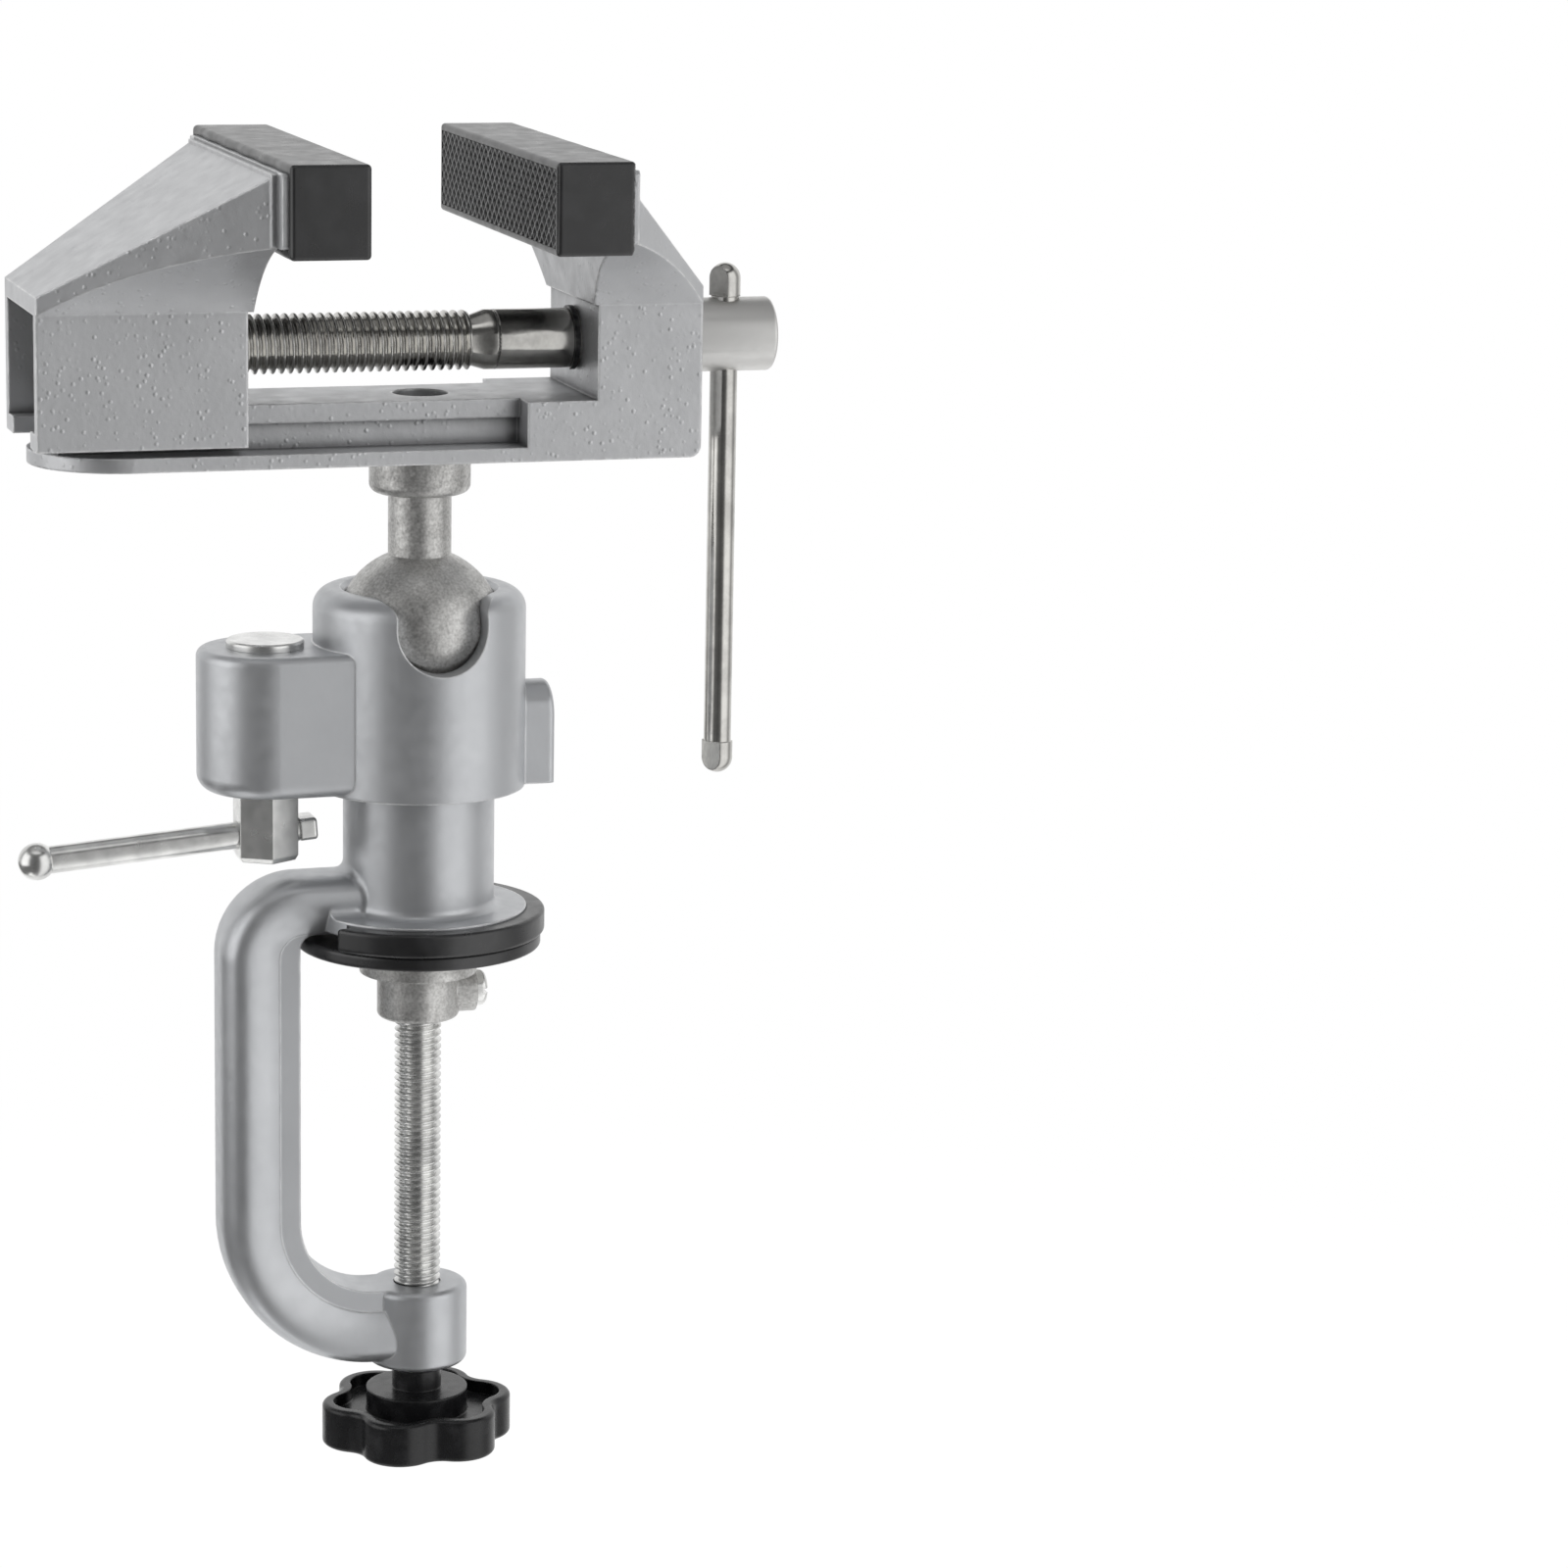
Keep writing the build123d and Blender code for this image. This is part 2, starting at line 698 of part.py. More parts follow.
# ================================================================ vise bed with the fixed jaw
with BuildPart() as vise_bed:
    with BuildSketch(Plane.XY.offset(bed_z)):
        with Locations((bed_x0 + bed_half_w, 0)):
            Circle(bed_half_w)
        with Locations(((bed_x0 + bed_half_w + block_x1) / 2, 0)):
            Rectangle(block_x1 - bed_x0 - bed_half_w, 2 * bed_half_w)
    extrude(amount=plate_h)
    with BuildSketch(Plane.YZ.offset(rail_x0)):
        with Locations((0, (plate_z + rail_z) / 2)):
            Rectangle(2 * web_half_w, web_h)
        with Locations((0, (rail_z + rail_top_z) / 2)):
            Rectangle(2 * rail_half_w, rail_h)
    extrude(amount=shoulder_x - rail_x0)
    with BuildSketch(Plane.XZ):
        with BuildLine():
            Polyline(
                (shoulder_x, bed_z),
                (block_x1, bed_z),
                (block_x1, ridge_z),
                (block_x0, ridge_z),
                (block_x0, rail_top_z),
                (shoulder_x, rail_top_z),
                (shoulder_x, bed_z),
            )
        make_face()
    extrude(amount=bed_half_w, both=True)
    fillet(
        vise_bed.edges().filter_by(Axis.Y).group_by(Axis.X)[-1].sort_by(Axis.Z)[0], block_round
    )
    # flared casting between the block and the flange
    with BuildSketch(Plane.XY.offset(ridge_z)):
        Polygon(
            (block_x1, -bed_half_w),
            (block_x1, bed_half_w),
            (fixed_back_x, flare_half_w),
            (fixed_face_x + cap_depth - face_lean, flare_half_w),
            (fixed_face_x + cap_depth - face_lean, -flare_half_w),
            (fixed_back_x, -flare_half_w),
            align=None,
        )
    extrude(amount=flange_top_z - ridge_z)
    with BuildSketch(Plane.XZ):
        Polygon(
            (block_x1, ridge_z + slope_rise),
            (fixed_back_x, flange_top_z - fixed_slope_drop),
            (fixed_back_x, cap_top_z),
            (block_x1, cap_top_z),
            align=None,
        )
        Polygon(
            (block_x0 - cast_round, ridge_z),
            (block_x0 - cast_round - face_lean, cap_z - seat_gap),
            (fixed_face_x, cap_z - seat_gap),
            (fixed_face_x, ridge_z),
            align=None,
        )
        Polygon(
            (fixed_face_x, cap_z - seat_gap),
            (fixed_face_x, cap_top_z),
            (fixed_face_x + cap_depth + seat_gap, cap_top_z),
            (fixed_face_x + cap_depth + seat_gap, cap_z - seat_gap),
            align=None,
        )
    extrude(amount=flange_half_w, both=True, mode=Mode.SUBTRACT)
    with BuildSketch(Plane.YZ.offset(fixed_face_x)):
        for side in (-1, 1):
            with BuildLine():
                Polyline(*[(side * y, z) for y, z in under_flare])
                ThreePointArc(*[(side * y, z) for y, z in flare_curve])
            make_face()
    extrude(amount=block_x1 - fixed_face_x, mode=Mode.SUBTRACT)
    with BuildSketch(Plane.YZ.offset(fixed_back_x)):
        with Locations((0, (flange_low_z + flange_top_z) / 2)):
            RectangleRounded(2 * flange_half_w, flange_top_z - flange_low_z, cap_round)
    extrude(amount=-(fixed_back_x - fixed_face_x - cap_face - seat_gap))
    # holes for the lead screw and for the stud's fixing screw
    with BuildSketch(Plane.YZ.offset(block_x0)):
        with Locations((0, screw_z)):
            Circle(lead_r + running_fit)
    extrude(amount=block_x1 - block_x0, mode=Mode.SUBTRACT)
    with BuildSketch(Plane.XY.offset(bed_z + fix_seat)):
        Circle(fix_bore_r)
    extrude(amount=beyond, mode=Mode.SUBTRACT)
    with BuildSketch(Plane.XY.offset(bed_z)):
        Circle(fix_r + running_fit)
    extrude(amount=fix_seat, mode=Mode.SUBTRACT)
vise_bed.part.label = "vise_bed"


# Rubber caps pushed over the flanges.
with BuildPart() as fixed_jaw_pad:
    with Locations((fixed_face_x + cap_depth / 2, 0, cap_z + cap_h / 2)):
        Box(cap_depth, cap_w, cap_h)
    fillet(fixed_jaw_pad.edges(), cap_round)
    with BuildSketch(Plane.YZ.offset(fixed_face_x + cap_face)):
        with Locations((0, cap_z + cap_h / 2)):
            RectangleRounded(cap_w - 2 * cap_wall, cap_h - 2 * cap_wall, cap_round)
    extrude(amount=cap_depth, mode=Mode.SUBTRACT)
fixed_jaw_pad.part.label = "fixed_jaw_pad"

with BuildPart() as moving_jaw_pad:
    with Locations((moving_face_x - cap_depth / 2, 0, cap_z + cap_h / 2)):
        Box(cap_depth, cap_w, cap_h)
    fillet(moving_jaw_pad.edges(), cap_round)
    with BuildSketch(Plane.YZ.offset(moving_face_x - cap_face)):
        with Locations((0, cap_z + cap_h / 2)):
            RectangleRounded(cap_w - 2 * cap_wall, cap_h - 2 * cap_wall, cap_round)
    extrude(amount=-cap_depth, mode=Mode.SUBTRACT)
moving_jaw_pad.part.label = "moving_jaw_pad"

# ================================================================ moving jaw
# Hollow casting that straddles the rail, with hooked feet under the rail's flanges.
with BuildPart() as moving_jaw:
    moving_top_z = flange_top_z - moving_slope_drop
    with BuildSketch(Plane.XY.offset(ridge_z)):
        Polygon(
            (jaw_x0, -bed_half_w),
            (jaw_x0, bed_half_w),
            (moving_back_x, flare_half_w),
            (moving_back_x, -flare_half_w),
            align=None,
        )
    extrude(amount=moving_top_z - ridge_z)
    with BuildSketch(Plane.XZ):
        Polygon(
            (jaw_x0, ridge_z + slope_rise),
            (moving_back_x, moving_top_z),
            (jaw_x0, moving_top_z),
            align=None,
        )
    extrude(amount=flange_half_w, both=True, mode=Mode.SUBTRACT)
    with BuildSketch(Plane.YZ.offset(jaw_x0)):
        for side in (-1, 1):
            with BuildLine():
                Polyline(*[(side * y, z) for y, z in under_flare])
                ThreePointArc(*[(side * y, z) for y, z in flare_curve])
            make_face()
    extrude(amount=moving_back_x - jaw_x0, mode=Mode.SUBTRACT)
    with Locations(((jaw_x0 + jaw_x1) / 2, 0, (jaw_base_z + ridge_z) / 2)):
        Box(jaw_x1 - jaw_x0, 2 * bed_half_w, ridge_z - jaw_base_z)
    with BuildSketch(Plane.YZ.offset(jaw_x1)):
        with Locations((0, (flange_low_z + moving_top_z) / 2)):
            Rectangle(2 * flare_half_w, moving_top_z - flange_low_z)
    extrude(amount=moving_back_x + cap_wall - jaw_x1)
    with BuildSketch(Plane.YZ.offset(moving_back_x)):
        with Locations((0, (flange_low_z + flange_top_z) / 2)):
            RectangleRounded(2 * flange_half_w, flange_top_z - flange_low_z, cap_round)
    extrude(amount=moving_face_x - cap_face - seat_gap - moving_back_x)
    # hollow, open at the left end and below
    with BuildSketch(Plane.XZ):
        Polygon(
            (jaw_x0 - 1, jaw_base_z + foot_h),
            (hollow_x1, jaw_base_z + foot_h),
            (hollow_x1, hollow_z + (hollow_x1 - jaw_x0) * tan(radians(jaw_roof_slope))),
            (jaw_x0, hollow_z),
            (jaw_x0 - 1, hollow_z),
            align=None,
        )
    extrude(amount=bed_half_w - jaw_wall, both=True, mode=Mode.SUBTRACT)
    # channel for the rail
    with BuildSketch(Plane.YZ.offset(jaw_x0 - 1)):
        with Locations((0, jaw_base_z + foot_h / 2)):
            Rectangle(2 * (web_half_w + slide_gap), foot_h + 2)
        with Locations((0, (jaw_base_z + foot_h + rail_top_z + slide_gap) / 2)):
            Rectangle(
                2 * (rail_half_w + slide_gap), rail_top_z + slide_gap - jaw_base_z - foot_h
            )
    extrude(amount=jaw_x1 - jaw_x0 + 2, mode=Mode.SUBTRACT)
    with BuildSketch(Plane.YZ.offset(hollow_x1)):
        with Locations((0, screw_z)):
            Circle(lead_r + slide_gap)
    extrude(amount=jaw_end_wall + 1, mode=Mode.SUBTRACT)
moving_jaw.part.label = "moving_jaw"

# Block nut behind the end wall, bored for the lead screw.
with BuildPart() as jaw_nut:
    with BuildSketch(Plane.YZ.offset(nut_x0)):
        with Locations((0, screw_z + (nut_rise - nut_drop) / 2)):
            Rectangle(2 * nut_half_w, nut_rise + nut_drop)
        with Locations((0, screw_z)):
            Circle(lead_r + running_fit, mode=Mode.SUBTRACT)
    extrude(amount=nut_t)
jaw_nut.part.label = "jaw_nut"

# ================================================================ lead screw
with BuildPart() as lead_screw:
    with BuildSketch(Plane.XZ):
        with BuildLine():
            Polyline(
                (lead_x0, screw_z),
                *[
                    (x, screw_z + r)
                    for x, r in ring_thread(lead_r, lead_pitch, lead_depth, lead_x0, lead_thread_x1)
                ],
                (lead_thread_x1 + lead_runout, screw_z + lead_r),
                (block_x0 - slide_gap - ring_t, screw_z + lead_r),
                (block_x0 - slide_gap - ring_t, screw_z + ring_groove_r),
                (block_x0 - slide_gap, screw_z + ring_groove_r),
                (block_x0 - slide_gap, screw_z + lead_r),
                (hub_x0, screw_z + lead_r),
                (hub_x0, screw_z + hub_r),
                (hub_x0 + hub_len, screw_z + hub_r),
                (hub_x0 + hub_len, screw_z),
                (lead_x0, screw_z),
            )
        make_face()
    revolve(axis=Axis((0, 0, screw_z), (1, 0, 0)))
    fillet(lead_screw.faces().sort_by(Axis.X)[-1].edges(), hub_round)
    with BuildSketch(Plane.XY.offset(screw_z)):
        with Locations((bar_axis_x, 0)):
            Circle(bar_r + running_fit)
    extrude(amount=2 * hub_r, both=True, mode=Mode.SUBTRACT)
lead_screw.part.label = "lead_screw"

# Open ring in the groove, against the fixed block.
with BuildPart() as screw_retaining_ring:
    with BuildSketch(Plane.YZ.offset(block_x0 - slide_gap - ring_t)):
        with Locations((0, screw_z)):
            Circle(ring_r)
            Circle(ring_groove_r + seat_gap, mode=Mode.SUBTRACT)
        with Locations((0, screw_z - ring_r)):
            Rectangle(ring_slot, 2 * ring_r, mode=Mode.SUBTRACT)
    extrude(amount=ring_t)
screw_retaining_ring.part.label = "screw_retaining_ring"

# Sliding cross bar with domed ends. Each end is pressed flat on two sides and bulges a little
# on the other two, and the bar hangs by the upper one.
with BuildPart() as tommy_bar:
    bar_low_z = bar_top_z - bar_len
    with BuildSketch(Plane.XY.offset(bar_low_z)):
        with Locations((bar_axis_x, 0)):
            Circle(bar_r)
    extrude(amount=bar_len)
    for crimp_z in (bar_top_z - bar_crimp, bar_low_z):
        with BuildSketch(Plane.XY.offset(crimp_z)):
            with Locations((bar_axis_x, 0)):
                Circle(bar_crimp_w)
        extrude(amount=bar_crimp)
    with BuildSketch(Plane(origin=(bar_axis_x, 0, 0), x_dir=(1, 0, 0), z_dir=(0, -1, 0))):
        with BuildLine():
            Polyline(
                (0, bar_low_z),
                (0, bar_top_z),
            )
            RadiusArc((0, bar_top_z), (bar_crimp_w, bar_top_z - bar_crimp_w), bar_crimp_w)
            Line((bar_crimp_w, bar_top_z - bar_crimp_w), (bar_crimp_w, bar_low_z + bar_crimp_w))
            RadiusArc((bar_crimp_w, bar_low_z + bar_crimp_w), (0, bar_low_z), bar_crimp_w)
        make_face()
    revolve(axis=Axis((bar_axis_x, 0, 0), (0, 0, 1)), mode=Mode.INTERSECT)
    turn = radians(bar_crimp_turn)
    with BuildSketch(
        Plane(
            origin=(bar_axis_x, 0, 0),
            x_dir=(cos(turn), sin(turn), 0),
            z_dir=(sin(turn), -cos(turn), 0),
        )
    ):
        for side in (-1, 1):
            for end_z, way in ((bar_top_z, 1), (bar_low_z, -1)):
                Polygon(
                    (side * bar_crimp_t, end_z + way),
                    (side * bar_crimp_t, end_z - way * bar_crimp),
                    (side * (bar_crimp_w + 1), end_z - way * bar_crimp),
                    (side * (bar_crimp_w + 1), end_z + way),
                    align=None,
                )
    extrude(amount=2 * bar_crimp_w, both=True, mode=Mode.SUBTRACT)
tommy_bar.part.label = "tommy_bar"

# ================================================================ pressure pad and its socket
with BuildPart() as pressure_pad:
    with BuildSketch(Plane.XY.offset(-press_pad_h)):
        Circle(press_pad_r)
    extrude(amount=press_pad_h)
    fillet(pressure_pad.edges(), press_pad_round)
    with BuildSketch(Plane.XY.offset(-press_pad_h)):
        Circle(disc_r + seat_gap)
    extrude(amount=disc_h, mode=Mode.SUBTRACT)
pressure_pad.part.label = "pressure_pad"

with BuildPart() as swivel_socket:
    with BuildSketch(Plane.XY.offset(-press_pad_h)):
        Circle(disc_r)
    extrude(amount=disc_h)
    with BuildSketch(Plane.XY.offset(-press_pad_h)):
        Circle(socket_flange_r)
    extrude(amount=socket_flange_z + press_pad_h)
    with BuildSketch(Plane.XY.offset(socket_flange_z)):
        Circle(socket_r)
    extrude(amount=socket_base_z - socket_flange_z)
    fillet(swivel_socket.edges().group_by(Axis.Z)[0], socket_round)
    with BuildSketch(Plane.YZ):
        with Locations((0, side_screw_z)):
            Circle(side_flat_r)
    extrude(amount=side_flat_x)
    with BuildSketch(Plane.XY.offset(socket_base_z)):
        Circle(tip_r + running_fit)
    extrude(amount=tip_top_z - socket_base_z, mode=Mode.SUBTRACT)
    with BuildSketch(Plane.YZ):
        with Locations((0, side_screw_z)):
            Circle(side_screw_r + running_fit)
    extrude(amount=side_flat_x, mode=Mode.SUBTRACT)
swivel_socket.part.label = "swivel_socket"

# Pan-head screw whose tip runs in the clamp screw's groove.
with BuildPart() as socket_retaining_screw:
    with BuildSketch(Plane.YZ.offset(side_flat_x)):
        with Locations((0, side_screw_z)):
            Circle(side_head_r)
    extrude(amount=side_head_h)
    fillet(socket_retaining_screw.edges().group_by(Axis.X)[-1], 1.0)
    with BuildSketch(Plane.YZ.offset(side_flat_x + side_head_h)):
        with Locations((0, side_screw_z)):
            Rectangle(2 * side_head_r, side_slot)
    extrude(amount=-side_head_h / 2, mode=Mode.SUBTRACT)
    with BuildSketch(Plane.YZ.offset(side_flat_x)):
        with Locations((0, side_screw_z)):
            Circle(side_screw_r)
    extrude(amount=-(side_flat_x - tip_r - 2 * throat_gap))
    with BuildSketch(Plane.YZ.offset(side_flat_x)):
        with Locations((0, side_screw_z)):
            Circle(side_dog_r)
    extrude(amount=-(side_flat_x - tip_groove_r - throat_gap))
socket_retaining_screw.part.label = "socket_retaining_screw"

# ================================================================ clamp screw and knob
with BuildPart() as clamp_screw:
    tip_base_z = socket_base_z - throat_gap
    with BuildSketch(Plane.XZ):
        with BuildLine():
            Polyline(
                (0, knob_base_z + knob_h - knob_screw_depth),
                *[
                    (r, z)
                    for z, r in ring_thread(
                        clamp_r,
                        clamp_pitch,
                        clamp_depth,
                        knob_base_z + knob_h - knob_screw_depth,
                        tip_base_z,
                    )
                ],
                (tip_r, tip_base_z),
                (tip_r, side_screw_z - tip_groove_h / 2),
                (tip_groove_r, side_screw_z - tip_groove_h / 2),
                (tip_groove_r, side_screw_z + tip_groove_h / 2),
                (tip_r, side_screw_z + tip_groove_h / 2),
                (tip_r, tip_top_z - throat_gap),
                (0, tip_top_z - throat_gap),
                (0, knob_base_z + knob_h - knob_screw_depth),
            )
        make_face()
    revolve(axis=Axis.Z)
clamp_screw.part.label = "clamp_screw"

with BuildPart() as star_knob:
    with BuildSketch(Plane.XY.offset(knob_base_z)) as knob_outline:
        Circle(knob_tip_r - knob_lobe_r)
        with PolarLocations(knob_tip_r - knob_lobe_r, knob_lobes):
            Circle(knob_lobe_r)
        fillet(knob_outline.vertices(), knob_valley_round)
    extrude(amount=knob_h)
    fillet(star_knob.edges().group_by(Axis.Z)[-1], knob_bead)
    fillet(star_knob.edges().group_by(Axis.Z)[0], knob_bead)
    with BuildSketch(Plane.XY.offset(knob_rim_z)) as knob_web:
        Circle(knob_tip_r - knob_lobe_r)
        with PolarLocations(knob_tip_r - knob_lobe_r, knob_lobes):
            Circle(knob_lobe_r)
        fillet(knob_web.vertices(), knob_valley_round)
        offset(amount=-knob_rim_w)
    extrude(amount=-knob_recess, mode=Mode.SUBTRACT)
    with BuildSketch(Plane.XY.offset(knob_rim_z - knob_recess)):
        Circle(knob_disc_r)
    extrude(amount=knob_recess + knob_disc_rise)
    with BuildSketch(Plane.XY.offset(knob_disc_z)):
        Circle(knob_neck_r)
    extrude(amount=knob_neck_top_z - knob_disc_z)
    with BuildSketch(Plane.XY.offset(knob_rim_z - knob_screw_depth)):
        Circle(clamp_r + seat_gap / 5)
    extrude(amount=beyond, mode=Mode.SUBTRACT)
star_knob.part.label = "star_knob"

# ================================================================ export
os.makedirs("parts", exist_ok=True)
export_step(c_frame.part, "parts/c_frame.step")
export_step(table_pad.part, "parts/table_pad.step")
export_step(socket_housing.part, "parts/socket_housing.step")
export_step(housing_retaining_screw.part, "parts/housing_retaining_screw.step")
export_step(ball_seat.part, "parts/ball_seat.step")
export_step(push_pin.part, "parts/push_pin.step")
export_step(lock_camshaft.part, "parts/lock_camshaft.step")
export_step(lock_bar.part, "parts/lock_bar.step")
export_step(ball_stud.part, "parts/ball_stud.step")
export_step(stud_fixing_screw.part, "parts/stud_fixing_screw.step")
export_step(stud_lock_washer.part, "parts/stud_lock_washer.step")
export_step(vise_bed.part, "parts/vise_bed.step")
export_step(fixed_jaw_pad.part, "parts/fixed_jaw_pad.step")
export_step(moving_jaw.part, "parts/moving_jaw.step")
export_step(moving_jaw_pad.part, "parts/moving_jaw_pad.step")
export_step(jaw_nut.part, "parts/jaw_nut.step")
export_step(lead_screw.part, "parts/lead_screw.step")
export_step(screw_retaining_ring.part, "parts/screw_retaining_ring.step")
export_step(tommy_bar.part, "parts/tommy_bar.step")
export_step(pressure_pad.part, "parts/pressure_pad.step")
export_step(swivel_socket.part, "parts/swivel_socket.step")
export_step(socket_retaining_screw.part, "parts/socket_retaining_screw.step")
export_step(clamp_screw.part, "parts/clamp_screw.step")
export_step(star_knob.part, "parts/star_knob.step")
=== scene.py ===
import math

import bmesh
import bpy
import numpy as np
from mathutils import Matrix, Vector


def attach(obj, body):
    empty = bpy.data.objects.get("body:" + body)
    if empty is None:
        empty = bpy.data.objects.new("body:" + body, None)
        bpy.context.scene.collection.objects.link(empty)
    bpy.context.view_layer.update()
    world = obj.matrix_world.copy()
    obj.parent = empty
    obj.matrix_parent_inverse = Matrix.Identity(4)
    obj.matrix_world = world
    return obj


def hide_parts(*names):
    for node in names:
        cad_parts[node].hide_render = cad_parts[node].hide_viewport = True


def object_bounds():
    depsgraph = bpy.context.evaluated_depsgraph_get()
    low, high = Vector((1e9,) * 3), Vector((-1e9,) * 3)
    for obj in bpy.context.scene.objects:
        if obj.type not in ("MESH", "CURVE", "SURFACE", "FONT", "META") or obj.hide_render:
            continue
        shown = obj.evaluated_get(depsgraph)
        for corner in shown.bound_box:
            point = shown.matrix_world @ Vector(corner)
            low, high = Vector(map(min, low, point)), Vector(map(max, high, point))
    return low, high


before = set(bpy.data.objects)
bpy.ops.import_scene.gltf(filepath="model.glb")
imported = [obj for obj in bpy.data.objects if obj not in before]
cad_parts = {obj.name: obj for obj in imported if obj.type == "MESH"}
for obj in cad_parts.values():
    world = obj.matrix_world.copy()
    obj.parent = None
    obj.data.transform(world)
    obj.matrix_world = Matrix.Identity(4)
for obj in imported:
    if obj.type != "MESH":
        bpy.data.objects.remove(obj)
cad_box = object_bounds()
MM = 0.001
BALL_Z = 51.8

# ------------------------------------------------------------------ clamp frame
# The frame is one casting: post, round flange, C-arm and threaded lower boss. It is sprayed with a
# smooth silver paint that is thin on the edges, where the bright metal comes through; a painted
# highlight brightens its edges and seams as well.
PAINT_DARK = (0.50, 0.51, 0.525, 1)
PAINT_LIGHT = (0.54, 0.55, 0.565, 1)
# Near white: bare metal where the paint is worn, and also a painted highlight along edges.
BARE_METAL_AND_HIGHLIGHT = (0.92, 0.92, 0.92, 1)
EDGE_SAMPLES = 6


def new_finish(name, colour, metallic, roughness, **sockets):
    """A finish and its Principled shader. What is the same all over is set on the shader's sockets."""
    finish = bpy.data.materials.new(name)
    finish.use_nodes = True
    finish.diffuse_color = colour
    shader = finish.node_tree.nodes["Principled BSDF"]
    shader.inputs["Base Color"].default_value = colour
    shader.inputs["Metallic"].default_value = metallic
    shader.inputs["Roughness"].default_value = roughness
    for socket, value in sockets.items():
        shader.inputs[socket.replace("_", " ")].default_value = value
    return finish, shader


def put(finish, kind, inputs=(), **settings):
    """Adds a node. inputs maps a socket's name or number to a value or to the output that feeds it."""
    node = finish.node_tree.nodes.new(kind)
    for setting, value in settings.items():
        setattr(node, setting, value)
    for socket, value in dict(inputs).items():
        if isinstance(value, bpy.types.NodeSocket):
            finish.node_tree.links.new(value, node.inputs[socket])
        else:
            node.inputs[socket].default_value = value
    return node


def speckle(finish, size_mm, detail=3.0, roughness=0.5):
    """Noise whose features are about size_mm across, from the piece's own place in metres."""
    place = put(finish, "ShaderNodeTexCoord").outputs["Object"]
    return put(
        finish,
        "ShaderNodeTexNoise",
        {"Vector": place, "Scale": 1 / (size_mm * MM), "Detail": detail, "Roughness": roughness},
    ).outputs["Fac"]


def spread(finish, value, low, high, to_low=0.0, to_high=1.0):
    """Stretches a value from low..high to to_low..to_high, held at both ends."""
    return put(
        finish,
        "ShaderNodeMapRange",
        {0: value, 1: low, 2: high, 3: to_low, 4: to_high},
        clamp=True,
    ).outputs[0]


def blended(finish, share, first, second):
    """Mixes two colours by share."""
    return put(
        finish, "ShaderNodeMix", {0: share, 6: first, 7: second}, data_type="RGBA"
    ).outputs[2]


def reckoned(finish, operation, first, second):
    """One step of arithmetic on two values."""
    return put(finish, "ShaderNodeMath", {0: first, 1: second}, operation=operation).outputs[0]


def feed(finish, value, socket):
    """Leads a value into one of the shader's sockets."""
    finish.node_tree.links.new(value, finish.node_tree.nodes["Principled BSDF"].inputs[socket])


def patchy(finish, size_mm, detail, shiniest, dullest):
    """Lets the roughness run between two values in patches about size_mm across."""
    feed(finish, spread(finish, speckle(finish, size_mm, detail), 0.3, 0.7, shiniest, dullest), "Roughness")


def soft_edges(finish, width_mm):
    """The normal with every edge rounded by width_mm."""
    return put(finish, "ShaderNodeBevel", {"Radius": width_mm * MM}, samples=EDGE_SAMPLES).outputs[0]


def openness(finish, reach_mm):
    """1 in the open, less where the piece itself stands within reach_mm."""
    return put(
        finish,
        "ShaderNodeAmbientOcclusion",
        {"Distance": reach_mm * MM},
        samples=EDGE_SAMPLES,
        only_local=True,
    ).outputs["AO"]


def embossed(finish, strength, deep_mm, height, rounded):
    """Raises height above the rounded normal by up to deep_mm."""
    bump = put(
        finish,
        "ShaderNodeBump",
        {"Strength": strength, "Distance": deep_mm * MM, "Height": height, "Normal": rounded},
    )
    feed(finish, bump.outputs[0], "Normal")


def worn_and_highlit_edges(finish, width_mm, grain, seams):
    """1 on edges, where the rounded normal leaves the face's own normal, broken up by grain: bare metal
    where the paint is worn, and a painted highlight. In a seam, where the piece itself stands close
    by, it falls to the value of seams."""
    rounded = soft_edges(finish, width_mm)
    flat = put(finish, "ShaderNodeNewGeometry").outputs["Normal"]
    agree = put(finish, "ShaderNodeVectorMath", {0: rounded, 1: flat}, operation="DOT_PRODUCT")
    bent = spread(finish, agree.outputs["Value"], 0.985, 0.88)
    in_seams = spread(finish, openness(finish, 2.5 * width_mm), 0.9, 0.99, seams, 1.0)
    worn_and_highlit = reckoned(finish, "MULTIPLY", bent, in_seams)
    return reckoned(finish, "MULTIPLY", worn_and_highlit, spread(finish, grain, 0.35, 0.6, 0.3, 1.0)), rounded


silver_paint = new_finish("silver_paint", PAINT_LIGHT, 0.85, 0.36, Specular_IOR_Level=0.5)[0]
cloud = spread(silver_paint, speckle(silver_paint, 16, 3), 0.3, 0.7)
# Painted highlight: edges and seams are lightened towards near white, along with the bare metal of worn paint.
rubbed_and_highlit, rounded = worn_and_highlit_edges(silver_paint, 0.55, speckle(silver_paint, 3.5, 3), 0.8)
painted = blended(silver_paint, cloud, PAINT_DARK, PAINT_LIGHT)
feed(silver_paint, blended(silver_paint, rubbed_and_highlit, painted, BARE_METAL_AND_HIGHLIGHT), "Base Color")
patchy(silver_paint, 2.2, 3, 0.33, 0.43)
embossed(silver_paint, 0.5, 0.02, speckle(silver_paint, 0.9, 2), rounded)


def wears(node, finish):
    """Gives a carried-over piece one finish all over."""
    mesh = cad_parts[node].data
    mesh.materials.clear()
    mesh.materials.append(finish)


wears("c_frame", silver_paint)
wears("socket_housing", silver_paint)
